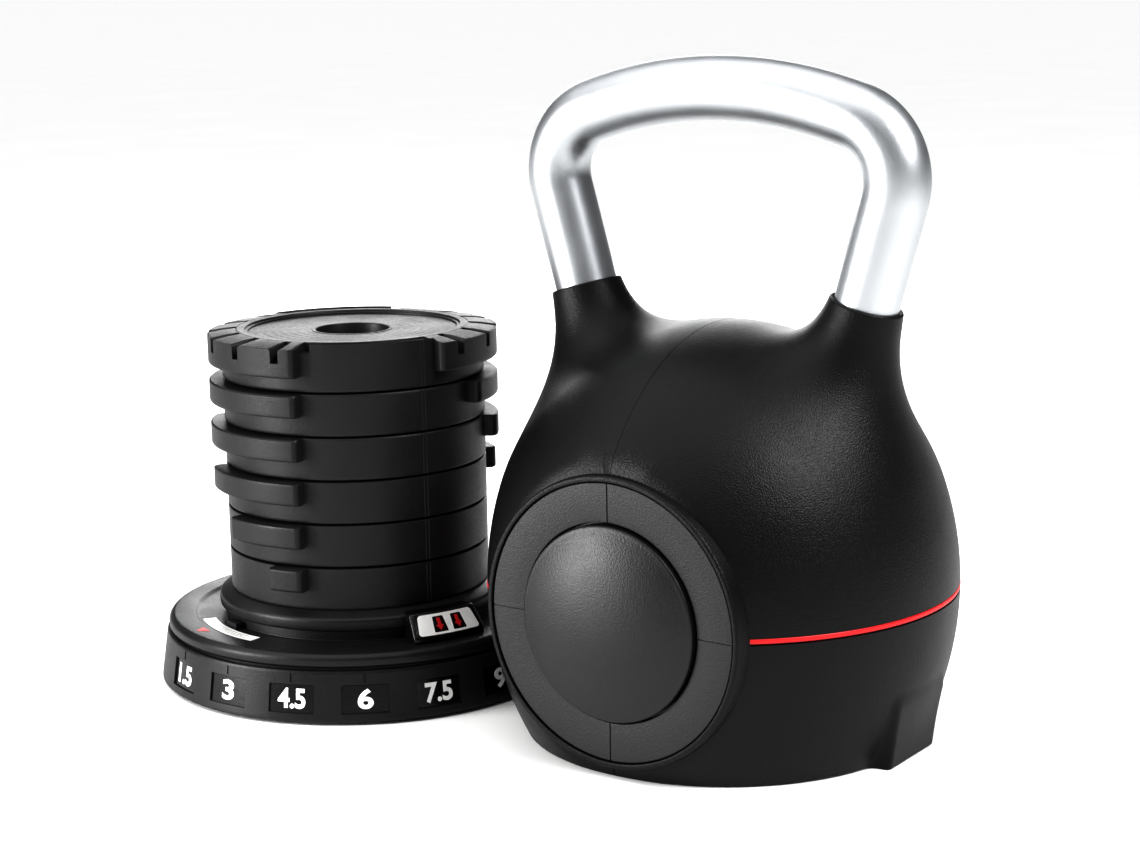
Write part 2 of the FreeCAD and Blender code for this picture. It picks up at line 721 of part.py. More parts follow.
# the shell is one hollow form, cut apart along its seams afterwards
wall = cut("bell_wall", dome("bell_form", size(0), 0), inner_space)
rind = cut("bell_rind", fuse("bell_outside", wall, *seats, *pads), *medal_space, *pockets)
lower_keep = common("lower_keep", rind, drum("below_band", 140, 0, waist - D["band_tall"] / 2))
band_keep = common("band_keep", rind, drum("at_band", 140, waist - D["band_tall"] / 2,
                                           waist + D["band_tall"] / 2))
upper_keep = common("upper_keep", rind, drum("above_band", 140, waist + D["band_tall"] / 2, size(240)))

BRIDGE_BOSS_CIRCLE = 45.0
BRIDGE_BOSS_ANGLES = (-45, 45, 135, 225)
SLEEVE_SCREW_ANGLES = (-50, 50, 130, 230)
SLEEVE_SCREW_CIRCLE = 91.0
sleeve_outer = D["sleeve_inner"] + D["sleeve_wall"]
bridge_high = D["bridge_low"] + D["bridge_thick"]
boss_space = dome("boss_space", D["bell_wall"] / 2, 0)
right_half = block("right_half", 0, 140, -140, 140, -5, 260)

horn = leaning("Part::Cone", "horn", 1, -D["horn_long"], Radius1=D["horn_foot_radius"],
               Radius2=D["horn_mouth_radius"], Height=D["horn_long"])
cavity = leaning("Part::Cone", "horn_cavity", 1, -D["horn_long"] - 2, Height=D["horn_long"] - 18,
                 Radius1=D["horn_foot_radius"] - HORN_WALL, Radius2=D["tube_radius"] + SOCKET_WALL)
socket = leaning("Part::Cylinder", "socket", 1, socket_end - SOCKET_FLOOR,
                 Radius=D["tube_radius"] + SOCKET_WALL, Height=D["socket_deep"] + SOCKET_FLOOR - 5)
bore = leaning("Part::Cylinder", "socket_bore", 1, socket_end, Radius=D["tube_radius"],
               Height=D["socket_deep"] + 5)
bolt_hole = leaning("Part::Cylinder", "bolt_hole", 1, socket_end - SOCKET_FLOOR - 10,
                    Radius=HANDLE_SCREW_RADIUS, Height=size(20))
bosses = []
pilots = []
for index, angle in enumerate(BRIDGE_BOSS_ANGLES[:2]):
    east, north = around(size(BRIDGE_BOSS_CIRCLE), angle)
    boss = drum(f"bridge_boss_{index}", 5, bridge_high, 205, east, north)
    bosses.append(common(f"bridge_boss_{index}_trim", boss, boss_space))
    pilots.append(drum(f"bridge_pilot_{index}", SCREW_RADIUS, bridge_high - 1, bridge_high + 9, east, north))
open_wall = cut("upper_open", common("upper_quarter", upper_keep, right_half), cavity)
horn_skin = cut("horn_skin", horn, inner_space, cavity)
upper = cut("upper_done", fuse("upper_whole", open_wall, horn_skin, socket, *bosses),
            bore, bolt_hole, *pilots)

posts = []
drilled = []
for index, angle in enumerate(SLEEVE_SCREW_ANGLES[:2]):
    east, north = around(size(SLEEVE_SCREW_CIRCLE), angle)
    web = sector(f"sleeve_web_{index}", sleeve_outer + 1, size(118), size(4), size(24), size(angle - 3),
                 size(6))
    posts.append(common(f"sleeve_web_{index}_trim", web, boss_space))
    drilled.append(drum(f"sleeve_pilot_{index}", SCREW_RADIUS, 3, 15, east, north))
lower_quarter = common("lower_quarter", lower_keep, right_half)
lower = cut("lower_done", fuse("lower_whole", lower_quarter, *posts), *drilled)
band = common("band_done", band_keep, right_half)
for name, half in (("shell_upper", upper), ("shell_lower", lower), ("band", band)):
    node(f"{name}_right", group(f"{name}_right_group", [half]), "bell")
    other = doc.addObject("Part::Mirroring", f"{name}_left_mirror")
    other.Source = half
    other.Normal = FreeCAD.Vector(1, 0, 0)
    node(f"{name}_left", other, "bell")

# ---------------------------------------------------------------- medallions
RING_GAP = 0.4
CAP_GAP = 0.6
CAP_WALL = 2.5
for label, sign in (("front", -1), ("back", 1)):
    outer = D["medal_radius"] - RING_GAP
    inner = D["medal_cap_radius"] + CAP_GAP
    ring = turned(f"ring_{label}_blank", [
        (inner - 4, 0),
        (outer, 0),
        (outer, D["medal_face"] - D["medal_seat"]),
        (inner, D["medal_face"] - D["medal_seat"]),
        (inner, 2.4),
        (inner - 4, 2.4),
    ])
    cap_face = D["medal_face"] - D["medal_seat"] + 1.6
    cap_radius = D["medal_cap_radius"]
    dome_arc = (cap_radius * cap_radius + D["cap_dome"] * D["cap_dome"]) / (D["cap_dome"] * 2)
    ball_centre = cap_face + D["cap_dome"] - dome_arc
    cap_form = common(f"cap_{label}_form", drum(f"cap_{label}_edge", cap_radius, 2.4, 40),
                      ball(f"cap_{label}_ball", dome_arc, ball_centre))
    cap_hollow = common(f"cap_{label}_hollow", drum(f"cap_{label}_inside", cap_radius - CAP_WALL, 2, 40),
                        ball(f"cap_{label}_inner_ball", dome_arc - CAP_WALL, ball_centre))
    cap = cut(f"cap_{label}_shell", cap_form, cap_hollow)
    for name, thing in ((f"medal_ring_{label}", ring), (f"medal_cap_{label}", cap)):
        NODES.append(thing)
        thing.Label = name
        put(thing, D["bell_place"], D["bell_back"] + D["medal_seat"] * sign, waist, turn=size(90),
            axis=(-sign, 0, 0))

# ---------------------------------------------------------------- handle
bar_rise = D["bar_top"] - D["bend_z"]
bar_arc = (D["bend_x"] * D["bend_x"] + bar_rise * bar_rise - D["bend_radius"] * D["bend_radius"]) / (
    (bar_rise - D["bend_radius"]) * 2)
bar_centre = D["bar_top"] - bar_arc
bar_share = bar_arc / (bar_arc - D["bend_radius"])
leg_end_x = mouth_x - sine(lean) * D["socket_deep"]
leg_end_z = D["mouth_z"] - cosine(lean) * D["socket_deep"]
bend_head_x = D["bend_x"] * bar_share
bend_head_z = bar_centre + (D["bend_z"] - bar_centre) * bar_share

handle = doc.addObject("PartDesign::Body", "handle_body")
route = handle.newObject("Sketcher::SketchObject", "handle_route")
route.AttachmentSupport = [(origin_plane(handle, "XZ_Plane"), "")]
route.MapMode = "FlatFace"
stations = [(leg_end_x, leg_end_z), (bend_foot_x, bend_foot_z), (bend_head_x, bend_head_z),
            (-bend_head_x, bend_head_z), (-bend_foot_x, bend_foot_z), (-leg_end_x, leg_end_z)]
bends = [None, D["bend_radius"], bar_arc, D["bend_radius"], None]
spots = [FreeCAD.Vector(east.number, up.number, 0) for east, up in stations]
for index, arc in enumerate(bends):
    start, end = spots[index], spots[index + 1]
    if arc is None:
        route.addGeometry(Part.LineSegment(start, end), False)
        continue
    along = (end - start).normalize()
    right = FreeCAD.Vector(along.y, -along.x, 0)
    half = (end - start).Length / 2
    rise = arc.number - math.sqrt(arc.number * arc.number - half * half)
    route.addGeometry(Part.Arc(start, (start + end) * 0.5 + right * rise, end), False)
for index in range(len(spots)):
    edge = min(index, len(bends) - 1)
    here = point_end(route.Geometry[edge], spots[index])
    if 0 < index < len(bends):
        there = point_end(route.Geometry[index - 1], spots[index])
        route.addConstraint(Sketcher.Constraint("Coincident", index - 1, there, edge, here))
    for kind, value in zip(("DistanceX", "DistanceY"), stations[index]):
        at = route.addConstraint(Sketcher.Constraint(kind, -1, 1, edge, here, value.number))
        bind(route, f"Constraints[{at}]", value)
for index, arc in enumerate(bends):
    if arc is not None:
        at = route.addConstraint(Sketcher.Constraint("Radius", index, arc.number))
        bind(route, f"Constraints[{at}]", arc)
doc.recompute()
section = handle.newObject("Sketcher::SketchObject", "handle_section")
section.AttachmentSupport = [(route, "Edge1")]
section.MapMode = "NormalToEdge"
section.MapPathParameter = 0.0
for index, radius in enumerate((D["tube_radius"], D["tube_radius"] - D["tube_wall"])):
    section.addGeometry(Part.Circle(FreeCAD.Vector(0, 0, 0), FreeCAD.Vector(0, 0, 1), radius.number), False)
    section.addConstraint(Sketcher.Constraint("Coincident", index, 3, -1, 1))
    at = section.addConstraint(Sketcher.Constraint("Radius", index, radius.number))
    bind(section, f"Constraints[{at}]", radius)
pipe = handle.newObject("PartDesign::AdditivePipe", "handle_pipe")
pipe.Profile = section
pipe.Spine = (route, [f"Edge{index + 1}" for index in range(len(bends))])
pipe.SpineTangent = False
pipe.Mode = "Standard"
node("handle_tube", handle, "bell")

PLUG_LONG = 26.0
SCREW_HEAD = 7.0
plugs = []
handle_screws = []
for label, sign in SIDES:
    plug = leaning("Part::Cylinder", f"plug_{label}", sign, socket_end,
                   Radius=D["tube_radius"] - D["tube_wall"], Height=size(PLUG_LONG))
    thread = leaning("Part::Cylinder", f"plug_thread_{label}", sign, socket_end - 1,
                     Radius=HANDLE_SCREW_RADIUS, Height=size(PLUG_LONG - 3))
    plugs.append(cut(f"plug_cut_{label}", plug, thread))
    head = leaning("Part::Cylinder", f"handle_screw_head_{label}", sign, socket_end - SOCKET_FLOOR - 5,
                   Radius=SCREW_HEAD, Height=size(5))
    shank = leaning("Part::Cylinder", f"handle_screw_shank_{label}", sign, socket_end - SOCKET_FLOOR,
                    Radius=HANDLE_SCREW_RADIUS, Height=size(SOCKET_FLOOR + PLUG_LONG - 5))
    handle_screws.append(fuse(f"handle_screw_{label}", head, shank))
node("handle_plugs", group("handle_plug_group", plugs), "bell")
node("handle_screws", group("handle_screw_group", handle_screws), "bell")

# ---------------------------------------------------------------- carrier sleeve and its ledges
FLANGE_THICK = 3.0
rim_inner = dome_outline(D["bell_wall"], size(1))[0]
sleeve = turned("sleeve_blank", [
    (D["sleeve_inner"], 1),
    (rim_inner - 0.2, 1),
    (rim_inner - 0.2, 1 + FLANGE_THICK),
    (sleeve_outer, 1 + FLANGE_THICK),
    (sleeve_outer, D["sleeve_top"]),
    (D["sleeve_inner"], D["sleeve_top"]),
])
ledges = []
dock_offset = D["table_top"]
for side in range(2):
    middle = 180 * side - D["ledge_lag"]
    for number in range(1, plate_count + 1):
        top = lug_floor[number] - dock_offset - D["ledge_gap"]
        ledges.append(sector(f"ledge_{side}_{number}", D["ledge_inner"], D["sleeve_inner"] + 1,
                             top - D["ledge_thick"], top, middle - D["ledge_angle"] / 2, D["ledge_angle"]))
flange_holes = []
sleeve_screws = []
for index, angle in enumerate(SLEEVE_SCREW_ANGLES):
    east, north = around(size(SLEEVE_SCREW_CIRCLE), angle)
    flange_holes.append(drum(f"flange_hole_{index}", SCREW_RADIUS, 0, 6, east, north))
    flange_holes.append(drum(f"flange_sink_{index}", SCREW_HEAD_RADIUS - 0.5, 0, 2.4, east, north))
    sleeve_screws.append(screw(f"sleeve_screw_{index}", east, north, size(1.1), SCREW_HEAD_RADIUS - 0.5, 1.3,
                               SCREW_RADIUS, size(14)))
tab_slot = sector("tab_slot", size(75), size(83), size(0), size(2.4), size(FRONT - 6), size(12))
node("carrier_sleeve", cut("sleeve_done", fuse("sleeve_whole", sleeve, *ledges), tab_slot, *pockets, *pads,
                           *flange_holes), "bell")
node("sleeve_screws", group("sleeve_screw_group", sleeve_screws), "bell")

# ---------------------------------------------------------------- lock plate, spring and bridge
stem_radius = size(8)
STEM_GAP = 0.05
GUIDE_RADIUS = 12.0
lock_high = D["lock_low"] + D["lock_thick"]
stack_face = stack_top - dock_offset
tip_low = stack_face + 0.8 - D["lock_travel"]
boss_low = D["post_top"] + 0.2 - dock_offset - D["lock_travel"]
lock = turned("lock_blank", [
    (0, boss_low),
    (15, boss_low),
    (15, D["lock_low"]),
    (D["rim_outer"] + 6, D["lock_low"]),
    (D["rim_outer"] + 6, lock_high),
    (stem_radius, lock_high),
    (stem_radius, D["bridge_low"] + 14),
    (0, D["bridge_low"] + 14),
])
teeth = []
# the handle alone needs no lock, so the teeth meet the last notch when the dial is one step on
notch_at_lock = D["lug_front"] - NOTCH_LEAD - D["window_step"] * plate_count - D["window_first"]
for side in range(2):
    middle = notch_at_lock + FRONT + 180 * side
    teeth.append(sector(f"tooth_{side}_arm", size(60), D["lock_radius"], D["lock_low"], lock_high,
                        middle - 6, size(12)))
    teeth.append(sector(f"tooth_{side}", D["rim_outer"] + 1.5, D["lock_radius"], tip_low,
                        D["lock_low"] + 0.5, middle - 1.3, size(2.6)))
windows_in_lock = []
for index in range(4):
    east, north = around(size(42), 45 + 90 * index)
    windows_in_lock.append(drum(f"lock_window_{index}", 13, D["lock_low"] - 1, lock_high + 1, east, north))
node("lock_plate", cut("lock_done", fuse("lock_whole", lock, *teeth), *windows_in_lock), "bell")

bridge = turned("bridge_blank", [
    (stem_radius + STEM_GAP, D["bridge_low"]),
    (D["bridge_radius"], D["bridge_low"]),
    (D["bridge_radius"], bridge_high),
    (GUIDE_RADIUS, bridge_high),
    (GUIDE_RADIUS, bridge_high + 8),
    (stem_radius + STEM_GAP, bridge_high + 8),
])
bridge_holes = []
bridge_screws = []
for index, angle in enumerate(BRIDGE_BOSS_ANGLES):
    east, north = around(size(BRIDGE_BOSS_CIRCLE), angle)
    bridge_holes.append(drum(f"bridge_hole_{index}", SCREW_RADIUS, D["bridge_low"] - 1, bridge_high + 1,
                             east, north))
    bridge_screws.append(screw(f"bridge_screw_{index}", east, north, D["bridge_low"] - 2.5,
                               SCREW_HEAD_RADIUS, 2.5, SCREW_RADIUS, bridge_high + 8))
node("lock_bridge", cut("bridge_done", bridge, *bridge_holes), "bell")
node("bridge_screws", group("bridge_screw_group", bridge_screws), "bell")

SPRING_WIRE = 1.0
SPRING_RADIUS = 12.0
SPRING_TURNS = 4
SPRING_STEPS = 20  # straight lengths in a turn
spring_low = lock_high.number + SPRING_WIRE + 0.1
spring_rise = D["bridge_low"].number - SPRING_WIRE - 0.1 - spring_low
spring_points = []
for step in range(SPRING_TURNS * SPRING_STEPS + 1):
    angle = 2 * math.pi * step / SPRING_STEPS
    spring_points.append(FreeCAD.Vector(SPRING_RADIUS * math.cos(angle), SPRING_RADIUS * math.sin(angle),
                                        spring_rise * step / (SPRING_TURNS * SPRING_STEPS)))
wire_end = Part.makeCircle(SPRING_WIRE, spring_points[0], (spring_points[1] - spring_points[0]).normalize())
spring = doc.addObject("Part::Feature", "lock_spring_coil")
# solid, not Frenet, mitred corners
spring.Shape = Part.makePolygon(spring_points).makePipeShell([Part.Wire(wire_end)], True, False, 1)
spring.Placement = FreeCAD.Placement(
    FreeCAD.Vector(D["bell_place"].number, D["bell_back"].number, spring_low), FreeCAD.Rotation())
spring.Label = "lock_spring"
NODES.append(spring)


def write_parts():
    """Recompute, check every object, and write each piece."""
    doc.recompute()
    for thing in doc.Objects:
        if "Invalid" in thing.State or "Error" in thing.State:
            raise RuntimeError(f"{thing.Name} failed: {thing.State}")
    os.makedirs("parts", exist_ok=True)
    for thing in NODES:
        shape = thing.Shape
        if shape.isNull() or not shape.isValid() or not shape.Solids:
            raise RuntimeError(f"{thing.Label} has no valid solid")
        box = shape.BoundBox
        print(f"{thing.Label:20s} solids {len(shape.Solids)}  {shape.Volume / 1000:8.1f} cm3  "
              f"x {box.XMin:7.1f} {box.XMax:7.1f}  y {box.YMin:7.1f} {box.YMax:7.1f}  "
              f"z {box.ZMin:6.1f} {box.ZMax:6.1f}")
        shape.exportStep(f"parts/{thing.Label}.step")


write_parts()
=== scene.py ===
"""Looks for the adjustable kettlebell and its dial dock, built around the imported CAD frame.

Lengths in the functions are millimetres, as on a drawing; skin() turns them to metres.
"""
import math

import bmesh
import bpy
import numpy as np
from bpy.props import FloatProperty, FloatVectorProperty, IntProperty, PointerProperty
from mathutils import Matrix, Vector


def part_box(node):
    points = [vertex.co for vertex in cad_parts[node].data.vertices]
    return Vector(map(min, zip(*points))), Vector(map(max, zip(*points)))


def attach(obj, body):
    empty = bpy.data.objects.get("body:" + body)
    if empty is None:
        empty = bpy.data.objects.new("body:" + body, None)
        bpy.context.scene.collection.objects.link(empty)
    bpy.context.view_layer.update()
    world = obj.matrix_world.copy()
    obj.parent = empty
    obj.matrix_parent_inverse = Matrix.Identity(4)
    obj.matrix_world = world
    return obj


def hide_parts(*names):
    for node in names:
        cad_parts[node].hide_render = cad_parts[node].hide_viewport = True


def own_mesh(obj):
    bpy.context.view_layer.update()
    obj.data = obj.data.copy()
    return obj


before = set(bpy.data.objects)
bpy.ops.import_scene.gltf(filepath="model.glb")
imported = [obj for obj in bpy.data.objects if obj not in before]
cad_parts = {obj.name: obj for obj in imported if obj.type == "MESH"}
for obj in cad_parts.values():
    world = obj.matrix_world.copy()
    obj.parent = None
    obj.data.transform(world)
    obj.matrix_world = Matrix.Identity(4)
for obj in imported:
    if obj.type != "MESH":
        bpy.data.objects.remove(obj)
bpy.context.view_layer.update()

bl_info = {
    "name": "Adjustable kettlebell",
    "version": (1, 0, 0),
    "blender": (4, 5, 0),
    "location": "View3D > Sidebar > Kettlebell",
    "description": "Builds the detailed pieces and finishes of an adjustable kettlebell and its dial dock",
    "category": "Object",
}

BELL_PLACE = np.array([224.0, 20.0, 0.0])
DOCK_FRONT = math.radians(40.5 - 90)
WINDOW_FIRST, WINDOW_STEP = math.radians(-61.5), math.radians(20.5)
# where the lugs' front ends, the jackets' grooves and the first lifting block stand, from the dock's front
LUG_FRONT, GROOVE_TURN, BLOCK_TURN = math.radians(-23.5), math.radians(30), math.radians(28.5)
WAIST = 76.6
# the dome is two tangent arcs: the upper one's middle height and its radius, then the lower one's offset
# behind the axis and its radius, then the slope of the line from the upper middle to where they meet
CROWN_LEVEL, CROWN_RADIUS = 91.055, 117.545
SIDE_OFFSET, SIDE_RADIUS = 45.2, 165.0
MEET_RISE, MEET_RUN = 35.85, 112.0
SHELL_WALL = 3.0
LEG_LEAN = math.radians(16)
LEG_AXIS = np.array([math.sin(LEG_LEAN), 0, math.cos(LEG_LEAN)])
LEG_OUT = np.array([math.cos(LEG_LEAN), 0, -math.sin(LEG_LEAN)])
HORN_MOUTH = np.array([81.37, 0.0, 222.0])
HORN_RADIUS = 18.25
SIDES = (("right", 1), ("left", -1))
FACES = (("front", -1), ("back", 1))


def tint(code):
    """An sRGB hex colour as linear red, green, blue and alpha."""
    value = np.array([int(code[k:k + 2], 16) for k in (1, 3, 5)]) / 255
    linear = np.where(value <= 0.04045, value / 12.92, ((value + 0.055) / 1.055) ** 2.4)
    return (*linear.tolist(), 1.0)


# ---------------------------------------------------------------- settings
class BellSettings(bpy.types.PropertyGroup):
    """Sizes of the bell and its handle."""

    tube_radius: FloatProperty(name="Tube radius", description="Outer radius of the handle tube",
                               default=0.016, unit="LENGTH")
    horn_slope: FloatProperty(name="Horn slope",
                              description="How much a horn widens for each unit down its leg",
                              default=0.13, min=0.0, max=0.6)
    horn_fillet: FloatProperty(name="Horn fillet",
                               description="Reach of the curve where a horn meets the dome",
                               default=0.034, unit="LENGTH")
    medal_radius: FloatProperty(name="Medallion radius",
                                description="Outer radius of the flat ring on each face",
                                default=0.0684, unit="LENGTH")
    cap_dome: FloatProperty(name="Cap rise", description="How far the middle of a cap stands over its edge",
                            default=0.0085, unit="LENGTH")


class DockSettings(bpy.types.PropertyGroup):
    """Sizes of the dock and the plates on it."""

    plate_radius: FloatProperty(name="Plate radius", description="Radius of a weight plate's wall",
                                default=0.0715, unit="LENGTH")
    lug_reach: FloatProperty(name="Lug reach", description="How far a lug stands out of the plate's wall",
                             default=0.0075, unit="LENGTH")
    window_count: IntProperty(name="Windows", description="Number windows round the dial", default=7, min=1,
                              max=12)
    window_deep: FloatProperty(name="Window depth", description="How far a number window is sunk",
                               default=0.0011, unit="LENGTH")


class FinishSettings(bpy.types.PropertyGroup):
    """Colours of the finishes that set the look most."""

    shell: FloatVectorProperty(name="Shell", description="Colour of the moulded shell", subtype="COLOR",
                               size=3, default=tint("#09090a")[:3])
    plates: FloatVectorProperty(name="Plates", description="Colour of the plate jackets", subtype="COLOR",
                                size=3, default=tint("#151516")[:3])
    stripe: FloatVectorProperty(name="Stripe", description="Colour of the band at the waist", subtype="COLOR",
                                size=3, default=tint("#b8191f")[:3])


# ---------------------------------------------------------------- mesh tools
def eased(corners, cuts, steps=4):
    """A closed outline with rounded corners: each corner becomes a quadratic curve from a cut before it to
    a cut after it, and a cut is never more than half of the shorter side beside it."""
    here = np.asarray(corners, float)
    back, ahead = np.roll(here, 1, 0) - here, np.roll(here, -1, 0) - here
    long_back, long_ahead = np.linalg.norm(back, axis=1), np.linalg.norm(ahead, axis=1)
    cut = np.minimum(np.broadcast_to(np.asarray(cuts, float), len(here)),
                     np.minimum(long_back, long_ahead) * 0.49)
    start = here + back / long_back[:, None] * cut[:, None]
    end = here + ahead / long_ahead[:, None] * cut[:, None]
    t = np.linspace(0, 1, steps + 1)[None, :, None]
    return ((1 - t) ** 2 * start[:, None] + 2 * t * (1 - t) * here[:, None] +
            t ** 2 * end[:, None]).reshape(-1, 2)


def spaced(low, high, step, extra=()):
    """Even values from low to high about a step apart, with the extra values that lie between them put
    in."""
    even = np.linspace(low, high, max(2, int(round((high - low) / step)) + 1))
    more = np.asarray(extra, float)
    return np.unique(np.concatenate([even, more[(more > low) & (more < high)]]))


def ring_angles(count, middles=(), offsets=()):
    """Angles once round, evenly spread, with closer ones at each middle plus each offset."""
    even = np.linspace(0, 2 * np.pi, count, endpoint=False)
    close = (np.asarray(middles, float)[:, None] + np.asarray(offsets, float)[None, :]).ravel() % (2 * np.pi)
    return np.unique(np.round(np.concatenate([even, close]), 7))


def skin(name, rows, material, body, ends="fan", replaces=(), crease=38):
    """Makes one closed mesh from a grid of points, row after row of closed loops, and lets it ride on a
    body. Ends are "joined" (the last row meets the first), "fan" (each end row closes on its middle) or
    "strip" (each end row closes across, point by point, from its first half to its second). Faces are
    turned to point outwards by the sign of the volume that they enclose."""
    rows = np.asarray(rows, float)
    count, around = rows.shape[:2]
    points = rows.reshape(-1, 3) * 0.001
    i = np.arange(count if ends == "joined" else count - 1)[:, None]
    j = np.arange(around)[None, :]
    ahead, beside = (i + 1) % count, (j + 1) % around
    faces = [np.stack(np.broadcast_arrays(i * around + j, i * around + beside, ahead * around + beside,
                                          ahead * around + j), -1).reshape(-1, 4)]
    last = (count - 1) * around
    if ends == "fan":
        points = np.vstack([points, points[:around].mean(0), points[last:last + around].mean(0)])
        j, beside = np.arange(around), (np.arange(around) + 1) % around
        low, high = np.full(around, count * around), np.full(around, count * around + 1)
        faces += [np.stack([low, beside, j], -1), np.stack([high, last + j, last + beside], -1)]
    elif ends == "strip":
        j = np.arange(around // 2 - 1)
        lid = np.stack([j, around - 1 - j, around - 2 - j, j + 1], -1)
        faces += [lid, last + lid[:, ::-1]]
    tris = np.vstack([f[:, [0, k, k + 1]] for f in faces for k in range(1, f.shape[1] - 1)])
    a, b, c = (points[tris[:, k]] - points.mean(0) for k in range(3))
    if np.einsum("ij,ij->", a, np.cross(b, c)) < 0:
        faces = [f[:, ::-1] for f in faces]
    mesh = bpy.data.meshes.new(name)
    mesh.from_pydata(points, [], [f for part in faces for f in part.tolist()])
    return settle(name, mesh, material, body, replaces, crease)


def settle(name, mesh, material, body, replaces=(), crease=38):
    """Merges the doubled points of a mesh, shades it smooth between creases, and puts it on its body."""
    work = bmesh.new()
    work.from_mesh(mesh)
    bmesh.ops.remove_doubles(work, verts=work.verts, dist=2e-6)
    bmesh.ops.dissolve_degenerate(work, edges=work.edges, dist=1e-6)
    work.to_mesh(mesh)
    work.free()
    mesh.polygons.foreach_set("use_smooth", np.ones(len(mesh.polygons), bool))
    mesh.set_sharp_from_angle(angle=math.radians(crease))
    mesh.materials.append(material)
    mesh.update()
    piece = bpy.data.objects.new(name, mesh)
    bpy.context.scene.collection.objects.link(piece)
    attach(piece, body)
    if replaces:
        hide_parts(*replaces)
    return piece


def revolved(angles, radius, height):
    """Rows of a form turned about the dock's axis: each angle carries an outline of radii and heights,
    which may change from angle to angle."""
    angles = np.asarray(angles, float)[:, None]
    radius, height = np.broadcast_arrays(np.atleast_2d(radius), np.atleast_2d(height))
    radius = np.broadcast_to(radius, (len(angles), radius.shape[1]))
    return np.stack([radius * np.cos(angles), radius * np.sin(angles),
                     np.broadcast_to(height, radius.shape)], -1)


def faced(rows, sign):
    """Turns rows made about an upright axis to stand on the bell's front or back: the axis becomes the line
    through the medallion's middle, and height becomes the distance out from the bell's own axis."""
    across, up, out = rows[..., 0], rows[..., 1], rows[..., 2]
    return np.stack([across, out * sign, up + WAIST], -1) + BELL_PLACE


def edge_step(distance, radius, reach):
    """Height of a raised form at a distance inside its edge: nothing outside, then straight up to a quarter
    round of the given radius, then the full reach. The result is a share of the reach."""
    inside = np.clip(distance, 0, radius)
    return np.where(distance < 0, 0, (reach - radius + np.sqrt(radius ** 2 - (radius - inside) ** 2)) / reach)


# ---------------------------------------------------------------- finishes
def add(tree, kind, inputs=(), **settings):
    """Adds one node, sets its settings, and sets or links its inputs."""
    made = tree.nodes.new(kind)
    for key, value in settings.items():
        setattr(made, key, value)
    for key, value in dict(inputs).items():
        if isinstance(value, bpy.types.NodeSocket):
            tree.links.new(value, made.inputs[key])
        else:
            made.inputs[key].default_value = value
    return made


METAL = {"Metallic": 1.0}


def gloss(index, level):
    """Shader inputs of a material that isn't metal: its index of refraction and the share of gloss that
    shows."""
    return {"IOR": index, "Specular IOR Level": level}


def grained(name, colour, second, rough, rough_spread, grain, depth, patch, shader, worn=None, fine=None):
    """A surface with grain. Noise the size of the grain, in metres, lifts the bump by the depth; slower
    noise the size of a patch moves the colour between two tones and the roughness by its spread; worn
    edges, where the mesh is sharply convex, take a lighter tone. fine is a second, finer grain as (size,
    depth)."""
    made = bpy.data.materials.new(name)
    made.use_nodes = True
    tree = made.node_tree
    tree.nodes.clear()
    spot = add(tree, "ShaderNodeTexCoord").outputs["Object"]
    cloud = add(tree, "ShaderNodeTexNoise", {"Vector": spot, "Scale": 1 / patch, "Detail": 4.0,
                                             "Roughness": 0.6})
    specks = add(tree, "ShaderNodeTexNoise", {"Vector": spot, "Scale": 1 / grain, "Detail": 1.0,
                                              "Roughness": 0.5})
    tone = add(tree, "ShaderNodeMix", {0: cloud.outputs["Fac"], 6: colour, 7: second},
               data_type="RGBA").outputs[2]
    if worn:
        sharp = add(tree, "ShaderNodeMapRange", {0: add(tree, "ShaderNodeNewGeometry").outputs["Pointiness"],
                                                 1: 0.52, 2: 0.60, 3: 0.0, 4: 0.55})
        rub = add(tree, "ShaderNodeMath", {0: sharp.outputs[0], 1: cloud.outputs["Fac"]},
                  operation="MULTIPLY")
        tone = add(tree, "ShaderNodeMix", {0: rub.outputs[0], 6: tone, 7: worn}, data_type="RGBA").outputs[2]
    mixed = add(tree, "ShaderNodeMath", {0: cloud.outputs["Fac"], 1: specks.outputs["Fac"]}, operation="ADD")
    matt = add(tree, "ShaderNodeMapRange", {0: mixed.outputs[0], 1: 0.7, 2: 1.3, 3: rough - rough_spread,
                                            4: rough + rough_spread})
    bump = add(tree, "ShaderNodeBump", {"Height": specks.outputs["Fac"], "Strength": 1.0, "Distance": depth})
    if fine:
        dust = add(tree, "ShaderNodeTexNoise", {"Vector": spot, "Scale": 1 / fine[0], "Detail": 2.0})
        bump = add(tree, "ShaderNodeBump", {"Height": dust.outputs["Fac"], "Strength": 1.0,
                                            "Distance": fine[1],
                                            "Normal": bump.outputs[0]})
    surface = add(tree, "ShaderNodeBsdfPrincipled", {"Base Color": tone, "Roughness": matt.outputs[0],
                                                     "Normal": bump.outputs[0], **shader})
    add(tree, "ShaderNodeOutputMaterial", {"Surface": surface.outputs[0]})
    return made


FINISH = {}


